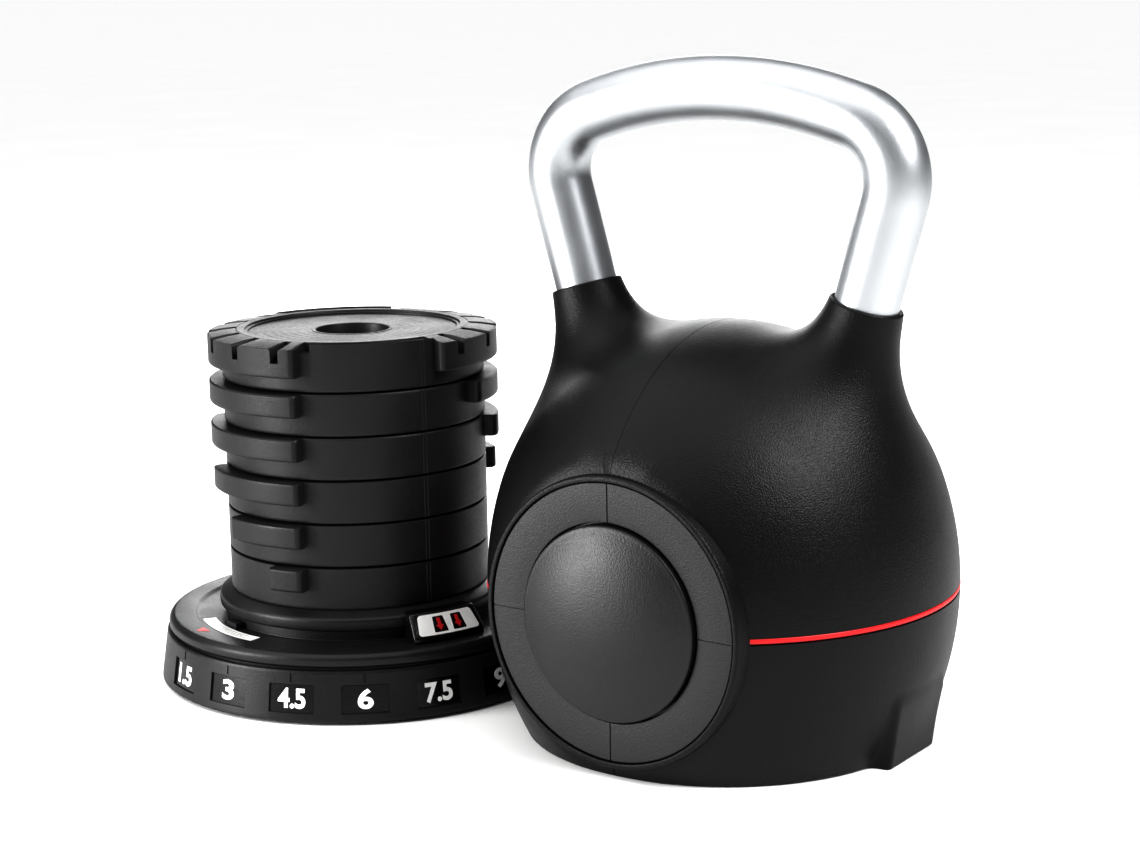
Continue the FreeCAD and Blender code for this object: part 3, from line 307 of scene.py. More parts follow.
def mix_finishes():
    """Makes every finish once. Grain sizes are real ones where they show, and drawn up to twice as coarse
    where the real grain is too fine to see."""
    chosen = bpy.context.scene.kettlebell_finish
    shell, plates, stripe = ((*value, 1.0) for value in (chosen.shell, chosen.plates, chosen.stripe))
    # polypropylene from a spark-eroded mould: deep black, a soft broad gloss, a fine sandy grain of about
    # 0.5 mm
    FINISH["shell"] = grained("polypropylene_spark_grain", shell, tint("#0b0b0c"), 0.40, 0.05, 0.0007,
                              0.00022, 0.055, gloss(1.5, 0.22), None, (0.00045, 0.00004))
    # ABS ring from the same mould maker with a tighter, duller grain
    FINISH["ring"] = grained("abs_fine_matt_grain", tint("#141415"), tint("#1a1a1b"), 0.50, 0.05, 0.0008,
                             0.00014, 0.04, gloss(1.53, 0.40), tint("#242425"), (0.0004, 0.00003))
    # ABS cap, satin: smoother than the ring, so the light rolls over its dome
    FINISH["cap"] = grained("abs_satin", tint("#0a0a0b"), tint("#101011"), 0.42, 0.04, 0.0008, 0.00014,
                            0.03, gloss(1.53, 0.42), tint("#1a1a1b"))
    # polyethylene jackets over iron: waxy half-matt black, soft flow marks, greyer where corners rub
    FINISH["plate"] = grained("polyethylene_jacket", plates, tint("#1c1c1d"), 0.46, 0.07, 0.0013, 0.00007,
                              0.022, gloss(1.51, 0.30), tint("#29292a"), (0.0005, 0.00003))
    # ABS dial ring with a light satin polish and a faint grain
    FINISH["dock"] = grained("abs_dial_satin", tint("#121213"), tint("#18181a"), 0.40, 0.06, 0.0011,
                             0.00007, 0.03, gloss(1.53, 0.30), tint("#232324"), (0.0005, 0.00003))
    # the same ABS, polished in the mould, on the window floors and the frame round the arrows
    FINISH["polished"] = grained("abs_mould_polished", tint("#060607"), tint("#0a0a0b"), 0.20, 0.04, 0.0016,
                                 0.00002, 0.012, gloss(1.53, 0.30))
    # glass-filled nylon of the hidden carriers: dark grey, dry, with short pale streaks
    FINISH["nylon"] = grained("glass_filled_nylon", tint("#1c1c1e"), tint("#262628"), 0.58, 0.06, 0.0012,
                              0.00010, 0.008, gloss(1.53, 0.4), tint("#3a3a3c"), (0.0004, 0.00005))
    # aluminium tube, glass-bead blasted and clear anodised: silvery, soft mirror, a fine even sparkle
    FINISH["tube"] = grained("aluminium_bead_blasted", tint("#aeb0b3"), tint("#babcbe"), 0.40, 0.035,
                             0.0009, 0.000045, 0.02, METAL, None, (0.00045, 0.00002))
    # turned aluminium plugs: brighter, with tool marks lost under a thin matt skin
    FINISH["turned"] = grained("aluminium_turned", tint("#b4b6b9"), tint("#c9cacc"), 0.36, 0.06, 0.0006,
                               0.00005, 0.006, METAL)
    # zinc-plated steel screws: bluish bright with cloudy passivation
    FINISH["zinc"] = grained("steel_zinc_plated", tint("#9fa3a8"), tint("#bfc1c2"), 0.32, 0.08, 0.0008,
                             0.00003, 0.004, METAL)
    # drawn spring wire, oil hardened: dark straw grey
    FINISH["spring"] = grained("spring_steel_drawn", tint("#6d6f72"), tint("#86837c"), 0.30, 0.06, 0.0006,
                               0.00003, 0.003, METAL)
    # grey cast iron, sand cast: rough pits of 1 to 2 mm, dull
    FINISH["iron"] = grained("iron_sand_cast", tint("#3a3938"), tint("#4a4744"), 0.62, 0.08, 0.0016,
                             0.00030, 0.012, METAL, None, (0.0007, 0.0001))
    # moulded rubber feet: dull charcoal with a dusty bloom
    FINISH["rubber"] = grained("rubber_moulded", tint("#151515"), tint("#222120"), 0.78, 0.06, 0.0011,
                               0.00009, 0.009, gloss(1.52, 0.3))
    # black acetal glide strip: dark, slippery sheen
    FINISH["glide"] = grained("acetal_machined", tint("#121213"), tint("#19191a"), 0.34, 0.05, 0.0010,
                              0.00003, 0.010, gloss(1.48, 0.30))
    # white ABS inset, glossy from the mould
    FINISH["white"] = grained("abs_white_gloss", tint("#e4e4e2"), tint("#efefed"), 0.24, 0.04, 0.0014,
                              0.00002, 0.012, gloss(1.53, 0.30))
    # pad-printed white ink: matt, very slightly uneven where the pad lifted
    FINISH["ink"] = grained("ink_pad_printed_white", tint("#e9e9e7"), tint("#f7f7f5"), 0.44, 0.05, 0.0006,
                            0.00003, 0.004, gloss(1.5, 0.4))
    # pad-printed red ink of the pointer and arrows
    FINISH["red_ink"] = grained("ink_pad_printed_red", tint("#b3141b"), tint("#c81c22"), 0.42, 0.05, 0.0006,
                                0.00003, 0.004, gloss(1.5, 0.4))
    # red polypropylene band, satin, with slight flow toning along its length
    FINISH["stripe"] = grained("polypropylene_red_satin", stripe, tint("#c4161d"), 0.40, 0.05, 0.0009,
                               0.00004, 0.03, gloss(1.5, 0.4))
    # polyester label film: paper-white under a thin clear layer
    FINISH["label"] = grained("polyester_label_film", tint("#cfcfcc"), tint("#dcdcd9"), 0.30, 0.05, 0.0012,
                              0.00002, 0.010, gloss(1.5, 0.30))
    # grey ink of the label's ruled lines
    FINISH["grey_ink"] = grained("ink_printed_grey", tint("#7b7b7a"), tint("#8d8d8c"), 0.46, 0.05, 0.0006,
                                 0.00002, 0.004, gloss(1.5, 0.4))


# ---------------------------------------------------------------- the bell's form
def blended(first, second, reach):
    """The lesser of two distances, rounded where they are within reach of each other."""
    near = np.maximum(reach - np.abs(first - second), 0) / reach
    return np.minimum(first, second) - near ** 2 * reach / 4


def dome_distance(r, z, wall=0.0):
    """How far points are outside the dome made smaller by a wall: above the line where the arcs meet it is
    the distance to the upper arc, and below it the distance to the lower one."""
    upper = (z - CROWN_LEVEL) * MEET_RUN > r * MEET_RISE
    return wall + np.where(upper, np.hypot(r, z - CROWN_LEVEL) - CROWN_RADIUS,
                           np.hypot(r + SIDE_OFFSET, z - WAIST) - SIDE_RADIUS)


def bell_distance(points):
    """How far points are outside the bell, in its own millimetres. The dome is two tangent arcs turned
    about the axis; each horn is a slow cone on its leg's line, cut square at its mouth; the foot pads are
    leaning boxes. Rounded minimums join them. A shallow flat-bottomed cone limits the front and back, as
    the medallions' seats; that limit is rounded as well, which leaves a soft shoulder round each seat and
    no hard crease."""
    setup = bpy.context.scene.kettlebell_bell
    x, y, z = np.abs(points[..., 0]), np.abs(points[..., 1]), points[..., 2]
    dome = dome_distance(np.hypot(x, y), z)
    from_mouth = np.stack([x, y, z], -1) - HORN_MOUTH
    along = from_mouth @ LEG_AXIS
    off = np.sqrt(np.maximum((from_mouth ** 2).sum(-1) - along ** 2, 0))
    wide = HORN_RADIUS + setup.horn_slope * np.clip(-along, 0, 74)
    horn = np.maximum(off - wide, along)
    form = blended(dome, horn, setup.horn_fillet * 1000)
    pad = -blended(-(x - 108 - 5 * z / 34), -(y - 24), 3.0)
    pad = -blended(-pad, -(z - 35), 6.0)
    seat = (y - 99.3 - 0.38 * np.maximum(np.hypot(x, z - WAIST) - 60, 0)) / 1.07
    return -blended(-blended(form, pad, 5.0), -seat, 8.0)


def inner_distance(points):
    """How far points are outside the bell's hollow: the dome made 3 mm smaller, less the medallions'
    seats."""
    x, y, z = points[..., 0], np.abs(points[..., 1]), points[..., 2]
    dome = dome_distance(np.hypot(x, y), z, SHELL_WALL)
    return np.maximum(dome, -np.maximum(np.hypot(x, z - WAIST) - 74.0, 96.0 - y))


def struck(distance, origin, directions, near=8.0, far=330.0):
    """Where rays from inside a form leave it, found by halving the reach along each ray 34 times."""
    low, high = np.full(directions.shape[:-1], near), np.full(directions.shape[:-1], far)
    for _ in range(34):
        middle = (low + high) / 2
        inside = distance(origin + directions * middle[..., None]) < 0
        low, high = np.where(inside, middle, low), np.where(inside, high, middle)
    return (low + high) / 2


def leg_ray(turn, tilt):
    """Directions that lean away from the leg's line by a tilt, on the side that turn gives."""
    side = np.cos(turn)[..., None] * LEG_OUT + np.sin(turn)[..., None] * np.array([0.0, 1.0, 0.0])
    return np.cos(tilt)[..., None] * LEG_AXIS + np.sin(tilt)[..., None] * side


UPPER_FOOT = 78.05


def upper_half():
    """Rows of the right half of the upper shell. Rays from a point on the leg's line sweep from the horn's
    mouth out to the seam plane or to the band, whichever they meet first; the same sweep on the hollow
    makes the inside, and the two meet in one closed skin."""
    reach = (HORN_MOUTH[2] - 67) / LEG_AXIS[2]
    origin = HORN_MOUTH - LEG_AXIS * reach
    corner = np.array([0.0, 119.8, UPPER_FOOT]) - origin
    turn_corner = math.atan2(corner[1], corner @ LEG_OUT)
    turns = np.concatenate([np.linspace(-turn_corner, turn_corner, 191),
                            np.linspace(turn_corner, 2 * np.pi - turn_corner, 121)[1:-1]])

    def last_tilt(distance):
        """The tilt at which each sweep leaves the half's space."""
        low, high = np.full(turns.shape, math.radians(18)), np.full(turns.shape, math.radians(150))
        for _ in range(30):
            middle = (low + high) / 2
            way = leg_ray(turns, middle)
            hit = origin + way * struck(distance, origin, way)[:, None]
            inside = np.minimum(hit[:, 0], hit[:, 2] - UPPER_FOOT) > 0
            low, high = np.where(inside, middle, low), np.where(inside, high, middle)
        return (low + high) / 2

    first = math.atan2(HORN_RADIUS, reach - 1.7)
    outer_end, inner_end = last_tilt(bell_distance), last_tilt(inner_distance)
    share = (np.linspace(0, 1, 150) ** 1.6)[:-1, None]
    tilt = first + (outer_end - 0.0040 - first) * share
    tilt = np.vstack([tilt, outer_end - 0.0036, outer_end - 0.0012])
    way = leg_ray(turns[None, :], tilt)
    outside = origin + way * struck(bell_distance, origin, way)[..., None]
    way = leg_ray(turns, outer_end)
    brink = origin + way * (struck(bell_distance, origin, way) - 0.55)[:, None]
    tilt = inner_end * np.linspace(1, 0.02, 30)[:, None]
    way = leg_ray(turns[None, :], tilt)
    inside = origin + way * struck(inner_distance, origin, way)[..., None]
    side = leg_ray(turns, np.full(turns.shape, np.pi / 2))
    mouth = np.array([(-20, 16.08), (-0.9, 16.08), (-0.35, 16.3), (-0.05, 16.8), (0, 17.3), (-0.15, 17.8),
                      (-0.6, 18.12), (-1.3, 18.22)])
    lip = HORN_MOUTH + LEG_AXIS * mouth[:, 0, None, None] + side[None] * mouth[:, 1, None, None]
    return np.concatenate([lip, outside, brink[None], inside])


def lower_half():
    """Rows of the right half of the lower shell. At each angle about the bell's axis an upright section
    runs down the outside, found by level rays, round the rim, and up the inside."""
    corners = np.arctan2([-24, 24, -24, 24], [100, 100, 100, 100])
    turns = spaced(-np.pi / 2, np.pi / 2, 0.0125, np.concatenate([corners + k for k in (-0.02, 0, 0.02)]))
    turns = np.concatenate([[turns[0], turns[0] + 0.0025], turns[1:-1], [turns[-1] - 0.0025, turns[-1]]])
    levels = np.concatenate([[74.85, 74.55], np.linspace(74.0, 36, 34), np.linspace(35.2, 30, 12),
                             np.linspace(28.5, 1.2, 20), [0.5, 0.12, 0.0]])
    way = np.stack([np.cos(turns), np.sin(turns), np.zeros(len(turns))], -1)[:, None, :]
    base = np.zeros((1, len(levels), 3))
    base[0, :, 2] = levels
    directions = np.broadcast_to(way, (len(turns), len(levels), 3))
    out = struck(bell_distance, base, directions, 60.0, 160.0)
    pulled = np.zeros(len(levels))
    pulled[0], pulled[-2], pulled[-1] = 0.45, 0.45, 1.1
    out = out - pulled
    out[[0, -1]] -= 0.45
    inner = struck(inner_distance, base, directions, 60.0, 160.0)
    height = np.broadcast_to(levels, out.shape)
    section = np.stack([out, height], -1)
    back = np.stack([inner, height], -1)[:, ::-1]
    loop = np.concatenate([section, back], 1)
    return np.stack([loop[..., 0] * way[..., 0], loop[..., 0] * way[..., 1], loop[..., 1]], -1)


def band_half():
    """Rows of the right half of the red band: a rounded strip that follows the dome between the two
    medallions."""
    turns = np.radians(np.linspace(-54.5, 54.5, 110))
    low, high = 75.4, 78.0
    level = np.concatenate([[low, low + 0.25], np.linspace(low + 0.6, high - 0.6, 4), [high - 0.25, high]])
    proud = np.array([-0.35, -0.02, 0.12, 0.14, 0.14, 0.12, -0.02, -0.35])
    outer = SIDE_RADIUS * np.cos(np.arcsin((level - WAIST) / SIDE_RADIUS)) - SIDE_OFFSET + proud
    radius = np.concatenate([outer, outer[::-1] - 2.6])
    height = np.concatenate([level, level[::-1]])
    return revolved(turns, radius, height)


def handle_rows():
    """Rows of the handle tube: a circle carried along straight leg, bend arc, long bar arc, bend arc and
    leg."""
    bends = np.linspace(-LEG_LEAN, math.radians(71.8), 40)[:, None]
    bar = np.linspace(math.radians(71.8), math.radians(108.2), 96)[:, None]
    right = np.array([65, 281]) + 32 * np.hstack([np.cos(bends), np.sin(bends)])
    top = np.array([0, 83.1]) + 240.3 * np.hstack([np.cos(bar), np.sin(bar)])
    foot = np.array([70.9, 185.5])
    leg = foot + (right[0] - foot) * np.linspace(0, 1, 40)[:-1, None]
    line = np.vstack([leg, right, top[1:-1], right[::-1] * [-1, 1], leg[::-1] * [-1, 1]])
    tangent = np.gradient(line, axis=0)
    tangent /= np.linalg.norm(tangent, axis=1)[:, None]
    turn = np.linspace(0, 2 * np.pi, 72, endpoint=False)
    radius = bpy.context.scene.kettlebell_bell.tube_radius * 1000
    across = np.stack([tangent[:, 1], 0 * tangent[:, 0], -tangent[:, 0]],
                      -1)[:, None] * np.cos(turn)[None, :, None]
    beside = np.array([0.0, 1.0, 0.0]) * np.sin(turn)[None, :, None]
    spine = np.stack([line[:, 0], 0 * line[:, 0], line[:, 1]], -1)[:, None]
    return spine + (across + beside) * radius + BELL_PLACE


def cap_outline():
    """Radii and heights of a cap: a ball's arc from the middle to a rounded edge, then the side wall."""
    rise = bpy.context.scene.kettlebell_bell.cap_dome * 1000
    arc = (48.0 ** 2 + rise ** 2) / (2 * rise)
    radius = np.linspace(0.05, 46.6, 34)
    height = 106.2 + rise - arc + np.sqrt(arc ** 2 - radius ** 2)
    edge = np.array([(47.2, -0.12), (47.65, -0.4), (47.92, -0.85), (48.0, -1.5), (48.0, -6.5), (47.0, -7.0)])
    return np.vstack([np.stack([radius, height], -1), edge + [0, height[-1]]])


# ---------------------------------------------------------------- the plates' form
LUG_SWEEPS = (120.5, 99.5, 79.0, 58.5, 38.0, 15.5)
STACK_FOOT, PLATE_PITCH, PLATE_GAP, CROWN_EXTRA = 50.7, 23.4, 0.1, 2.0
RIM_OUTER, RIM_INNER, BORE = 63.5, 58.8, 20.0


def plate_rows(number):
    """Rows of a plate jacket. A rounded outline is turned about the axis; the wall is pushed out where an
    angle and a height are both inside a lug, by the product of two rounded steps; two thin upright grooves
    are pushed in; on the crown plate the shoulder drops inside each locking notch."""
    setup = bpy.context.scene.kettlebell_dock
    wall, reach = setup.plate_radius * 1000, setup.lug_reach * 1000
    low = STACK_FOOT + PLATE_PITCH * (6 - number)
    crowned = number == 1
    high = low + PLATE_PITCH + (CROWN_EXTRA if crowned else 0) - PLATE_GAP
    lug_low = low + (8.0 if crowned else 10.4)
    lug_high = high if crowned else lug_low + 12.0
    sweep = math.radians(LUG_SWEEPS[number - 1])
    fronts = [LUG_FRONT + DOCK_FRONT + np.pi * side for side in range(2)]
    per_mm = 1 / 75.0
    steps = np.array([-0.03, 0.0, 0.12, 0.4, 0.9, 1.6, 2.4, 3.2]) * per_mm
    close = [np.array(fronts)[:, None] - steps, np.array(fronts)[:, None] - sweep + steps]
    lines = [GROOVE_TURN + DOCK_FRONT + k + np.pi * side for side in range(2) for k in (-0.0145, 0.0145)]
    close.append(np.array(lines)[:, None] + np.array([-0.006, -0.003, 0, 0.003, 0.006]))
    notches = []
    if crowned:
        half = math.radians(3.5 / 2)
        for front in fronts:
            notches += [(front - math.radians(8 + 20.5 * k) - half,
                         front - math.radians(8 + 20.5 * k) + half, 9.5)
                        for k in range(6)]
            notches.append((front + 0.0004, front + math.radians(5), 4.75))
        ends = np.array([end for notch in notches for end in notch[:2]])
        close.append(ends[:, None] + np.array([-0.022, -0.014, -0.007, -0.0025, -0.0006, 0.0006, 0.0025,
                                               0.007,
                                               0.014, 0.022]))
    angles = ring_angles(240, np.concatenate([c.ravel() for c in close]), [0.0])
    shoulder = high - 1.0
    up = np.concatenate([[low + 0.8], spaced(low + 1.6, lug_low - 1.0, 2.4), [lug_low - 0.03, lug_low],
                         lug_low + np.array([0.15, 0.45, 0.9, 1.4])])
    if crowned:
        up = np.concatenate([up, spaced(lug_low + 2.4, high - 9.9, 2.0), [high - 9.5, high - 9.44],
                             spaced(high - 8.5, high - 5.2, 1.6),
                             [high - 4.75, high - 4.69, high - 3.4, high - 2.0],
                             high - np.array([1.4, 0.9, 0.45, 0.15, 0.0])])
    else:
        up = np.concatenate([up, spaced(lug_low + 2.4, lug_high - 2.4, 2.4),
                             lug_high - np.array([1.4, 0.9, 0.45, 0.15, 0.0, -0.03])])
        up = up[up < shoulder - 0.35]
    base = np.full(len(up), wall)
    foot = np.array([(BORE + 1.0, low), (wall - 0.8, low), (wall - 0.25, low + 0.25)])
    top = np.array([(wall - 0.3, high - 1.1), (wall - 0.9, shoulder), (RIM_OUTER + 0.6, shoulder),
                    (RIM_OUTER + 0.02, shoulder), (RIM_OUTER, shoulder + 0.02),
                    (RIM_OUTER - 0.1, high - 0.35),
                    (RIM_OUTER - 0.45, high), (RIM_INNER + 0.9, high), (RIM_INNER + 0.35, high - 0.15),
                    (RIM_INNER, high - 0.6), (RIM_INNER - 0.1, high - 1.1), (RIM_INNER - 1.3, high - 1.15),
                    (RIM_INNER - 1.7, high - 1.5), (RIM_INNER - 1.8, high - 2.15)])
    face = spaced(BORE + 3.2, RIM_INNER - 3.0, 1.15 if crowned else 6.0)[::-1]
    ripple = 0.11 * np.sin(face * 2 * np.pi / 4.6) if crowned else 0 * face
    floor = np.stack([face, high - 2.2 + ripple], -1)
    hole = np.array([(BORE + 2.4, high - 2.2), (BORE + 2.1, high - 1.9), (BORE + 1.0, high - 1.9),
                     (BORE + 0.3, high - 2.1), (BORE, high - 2.7), (BORE, low + 0.8),
                     (BORE + 0.3, low + 0.2)])
    outline = np.vstack([foot, np.stack([base, up], -1), top, floor, hole])
    radius = np.tile(outline[:, 0], (len(angles), 1))
    height = np.tile(outline[:, 1], (len(angles), 1))
    past = (np.array(fronts)[:, None] - angles + np.pi / 2) % (2 * np.pi) - np.pi / 2
    behind = np.minimum(past, sweep - past).max(0)
    in_lug = edge_step(behind / per_mm + 1e-4, 3.0, reach)
    tall = outline[:, 1]
    if crowned:
        rising = edge_step(tall - lug_low + 1e-4, 1.2, reach) * np.where(tall > lug_high - 1.2, 0,
                                                                         1) + np.where(
            tall > lug_high - 1.2, edge_step(lug_high - tall + 1e-4, 1.2, reach), 0)
    else:
        rising = edge_step(np.minimum(tall - lug_low, lug_high - tall) + 1e-4, 1.2, reach)
    on_wall = (outline[:, 0] > wall - 0.35) & (tall > low + 0.5)
    push = in_lug[:, None] * np.where(on_wall, rising, 0)[None, :]
    radius = radius + reach * push
    if crowned:
        # the shoulder rises to the lug's top, so the lug and the rim make one flat crown
        lip = (outline[:, 0] > RIM_OUTER + 0.01) & (tall >= shoulder - 0.15)
        height = np.where(lip[None, :] & (in_lug[:, None] > 0), np.maximum(height, high - 0.05), height)
        # each tooth falls a little towards its outer end and is rounded beside its notches
        gap = np.min(np.abs((angles[:, None] - ends + np.pi) % (2 * np.pi) - np.pi), axis=1) / per_mm
        fall = 1.5 - np.sqrt(1.5 ** 2 - np.clip(1.5 - gap, 0, 1.5) ** 2)
        crown = high - 0.05 - 0.16 * np.maximum(radius - 67, 0) - fall[:, None] * np.clip((radius - 64) / 4,
                                                                                          0, 1)
        height = np.where(in_lug[:, None] > 0, np.minimum(height, crown), height)
        for start, end, deep in notches:
            inside = ((angles - start) % (2 * np.pi)) < (end - start)
            reachable = (outline[:, 0] > RIM_OUTER + 0.01) & (tall > high - 12)
            height = np.where(inside[:, None] & reachable[None, :], np.minimum(height, high - deep), height)
    groove = np.min(np.abs((angles[:, None] - np.array(lines)[None, :] + np.pi) % (2 * np.pi) - np.pi),
                    axis=1)
    dip = 0.42 * np.clip(1 - groove / 0.0055, 0, 1)
    radius = radius - dip[:, None] * on_wall[None, :]
    return revolved(angles, radius, height)


# ---------------------------------------------------------------- the dock's form
# mean radius of the number ring's wall, which turns a width on it into an angle
WALL_MEAN = 111.0


def ring_wall(level):
    """Radius of the number ring's sloping wall at a height."""
    return 112.0 - (level - 1.5) * 4.0 / 26.5


def window_middles():
    """Angles of the number windows' middles."""
    return DOCK_FRONT + WINDOW_FIRST + WINDOW_STEP * np.arange(bpy.context.scene.kettlebell_dock.window_count)


def number_ring_rows():
    """Rows of the number ring. A thin-walled outline is turned about the axis; inside a window the wall
    steps in, with a slope above the window; a fine upright mark is cut over each window's middle."""
    deep = bpy.context.scene.kettlebell_dock.window_deep * 1000
    middles = window_middles()
    half = 12.5 / WALL_MEAN
    close = np.concatenate([-half + np.array([-0.012, -0.004, -0.0004, 0.0004, 0.003, 0.008]),
                            half - np.array([-0.012, -0.004, -0.0004, 0.0004, 0.003, 0.008]),
                            [-0.0062, -0.0042, 0, 0.0042, 0.0062]])
    angles = ring_angles(220, middles, close)
    level = np.concatenate([[1.5, 1.75, 2.5], spaced(3.5, 5.4, 1.0), [5.94, 6.0, 6.3], spaced(7.5, 19.5, 3.0),
                            [20.7, 21.0, 21.06], [21.5, 21.9, 22.0, 24.5, 26.4, 26.5, 27.2, 27.7, 27.95,
                                                  28.0]])
    pulled = np.zeros(len(level))
    pulled[[0, 1]], pulled[-4:] = (0.5, 0.12), (0.05, 0.25, 0.7, 1.2)
    wall = ring_wall(level) - pulled
    inner = np.array([(104.0, 28.0), (103.6, 27.4), (103.6, 25.2), (105.0, 24.8), (109.0, 1.6), (109.6, 1.5)])
    outline = np.vstack([np.stack([wall, level], -1), inner])
    off = np.min(np.abs((angles[:, None] - middles[None, :] + np.pi) % (2 * np.pi) - np.pi), axis=1)
    tall = outline[:, 1]
    outer = np.arange(len(outline)) < len(level)
    sunk = ((off < half)[:, None] & (outer & (tall > 5.97) & (tall < 21.03))[None, :]) * deep
    mark = ((off < 0.0052)[:, None] & (outer & (tall > 21.95) & (tall < 26.45))[None, :]) * 0.5
    return revolved(angles, outline[None, :, 0] - sunk - mark, outline[:, 1])


def wall_patch(middle, half_wide, low, high, inset, thick, corner=1.4):
    """Rows of a thin rounded plate that lies on the number ring's wall, sunk by inset, with its corners
    drawn in by quarter rounds."""
    along = np.concatenate([[-half_wide], -half_wide + np.array([0.15, 0.5, 1.0]) * corner,
                            np.linspace(-half_wide + 2 * corner, half_wide - 2 * corner, 9),
                            half_wide - np.array([1.0, 0.5, 0.15]) * corner, [half_wide]])
    edge = corner - np.sqrt(corner ** 2 - np.clip(corner - (half_wide - np.abs(along)), 0, corner) ** 2)
    bottom, top = low + edge, high - edge
    face = np.stack([bottom, bottom + 0.15, top - 0.15, top], -1)
    level = np.concatenate([face, face[:, ::-1]], 1)
    sink = np.array([-0.15, 0, 0, -0.15, -thick, -thick, -thick, -thick]) - inset
    radius = ring_wall(level) + sink
    turn = middle + along / WALL_MEAN
    return np.stack([radius * np.cos(turn)[:, None], radius * np.sin(turn)[:, None], level], -1)


def numeral(label, middle, wide, tall, inset):
    """One number as raised print: the letters' outline is scaled to the given width and height and wrapped
    onto the ring's wall."""
    curve = bpy.data.curves.new("numeral_outline", "FONT")
    curve.body, curve.offset, curve.extrude, curve.resolution_u = label, 0.034, 0.02, 6
    writing = bpy.data.objects.new("numeral_outline", curve)
    mesh = bpy.data.meshes.new_from_object(writing)
    bpy.data.objects.remove(writing)
    spots = np.zeros(len(mesh.vertices) * 3)
    mesh.vertices.foreach_get("co", spots)
    spots = spots.reshape(-1, 3)
    span = np.ptp(spots, axis=0)
    share = (spots - spots.min(0)) / span - [0.5, 0.5, 0.0]
    level = 13.5 + share[:, 1] * tall
    radius = ring_wall(level) - inset - 0.25 + 0.45 * share[:, 2]
    turn = middle + share[:, 0] * wide / WALL_MEAN
    mesh.vertices.foreach_set("co", (np.stack([radius * np.cos(turn), radius * np.sin(turn), level], -1)
                                     * 0.001).ravel())
    return mesh


def slope_spot(middle, across, up, out=0.0):
    """Points on a lifting block's sloping face: across and up are measured on the face, out is proud of
    it."""
    run, rise = -9.0, 51.0 - 39.5
    slant = math.hypot(run, rise)
    radius = 98.0 + run * up / slant + rise / slant * out
    level = 39.5 + rise * up / slant - run / slant * out
    turn = middle + across / 93.0
    return np.stack(np.broadcast_arrays(radius * np.cos(turn), radius * np.sin(turn), level), -1)


def slope_strip(middle, east, ups, widths, out, thick):
    """Rows of a thin plate on a block's sloping face. It runs up the face from station to station, each as
    wide on either side of its east place as widths says, and bends with the face."""
    share = np.linspace(-1, 1, 15)
    across = east + np.asarray(widths, float)[:, None] * share
    up = np.broadcast_to(np.asarray(ups, float)[:, None], across.shape)
    low = np.full(across.shape, out - thick)
    front = np.full(across.shape, out)
    front[:, [0, -1]] -= 0.06
    return np.concatenate([slope_spot(middle, across, up, front),
                           slope_spot(middle, across[:, ::-1], up, low)], 1)


def rounded_widths(low, high, wide_low, wide_high, corner, count=7):
    """Stations up a trapezoid and its half widths, drawn in near both ends by quarter rounds."""
    ease = corner * (1 - np.cos(np.linspace(0, np.pi / 2, count)))
    ups = np.concatenate([low + ease, high - ease[::-1]])
    from_end = np.clip(corner - np.minimum(ups - low, high - ups), 0, corner)
    widths = np.interp(ups, [low, high], [wide_low,
                                          wide_high]) - corner + np.sqrt(corner ** 2 - from_end ** 2)
    return ups, widths


def block_rows(middle):
    """Rows of a lifting block: a rounded wedge section carried round the axis, drawn in a little at both
    ends."""
    section = eased([(80.5, 34.9), (91.0, 34.9), (93.0, 36.5), (98.0, 36.5), (98.0, 39.5), (89.0, 51.0),
                     (80.5, 51.0)], [0.3, 0.3, 0.3, 0.3, 0.8, 1.3, 1.3], 3)
    half = math.radians(12.8)
    mm = 1 / 90.0
    ends = np.array([0.0, 0.1, 0.35, 0.75, 1.3]) * mm
    turns = np.concatenate([-half + ends, np.linspace(-half + 3 * mm, half - 3 * mm, 22),
                            (half - ends)[::-1]])
    inside = np.clip((half - np.abs(turns)) / mm, 0, 1.3)
    draw = 1.3 - np.sqrt(1.3 ** 2 - (1.3 - inside) ** 2)
    centre = np.array([88.5, 42.5])
    scale = 1 - draw[:, None, None] / 9.0
    loop = centre + (section[None] - centre) * scale
    return revolved(turns + middle, loop[..., 0], loop[..., 1])


def arc_plate(low, outline_low, outline_high, turns, thick, draw=0.1):
    """Rows of a thin plate that lies flat and follows an arc, between two radii that may change with the
    angle."""
    inner, outer = np.broadcast_to(outline_low, turns.shape), np.broadcast_to(outline_high, turns.shape)
    radius = np.stack([inner, outer, outer - draw, inner + draw], -1)
    level = np.array([low, low, low + thick, low + thick])
    return revolved(turns, radius, level)


# ---------------------------------------------------------------- operators
class MixFinishes(bpy.types.Operator):
    """Makes the procedural finishes."""

    bl_idname = "kettlebell.mix_finishes"
    bl_label = "Mix finishes"
    bl_options = {"REGISTER", "UNDO"}

    def execute(self, context):
        mix_finishes()
        return {"FINISHED"}


class BuildShell(bpy.types.Operator):
    """Builds the bell's upper and lower shell halves and its red band."""

    bl_idname = "kettlebell.build_shell"
    bl_label = "Bell shell and band"
    bl_options = {"REGISTER", "UNDO"}

    def execute(self, context):
        upper, lower, band = upper_half(), lower_half(), band_half()
        for side, sign in SIDES:
            mirror = np.array([sign, 1, 1])
            skin(f"bell_upper_{side}", upper * mirror + BELL_PLACE, FINISH["shell"], "bell",
                 replaces=[f"shell_upper_{side}"])
            skin(f"bell_lower_{side}", lower * mirror + BELL_PLACE, FINISH["shell"], "bell",
                 "strip",
                 [f"shell_lower_{side}"])
            skin(f"waist_band_{side}", band * mirror + BELL_PLACE, FINISH["stripe"], "bell",
                 "strip",
                 [f"band_{side}"])
        return {"FINISHED"}


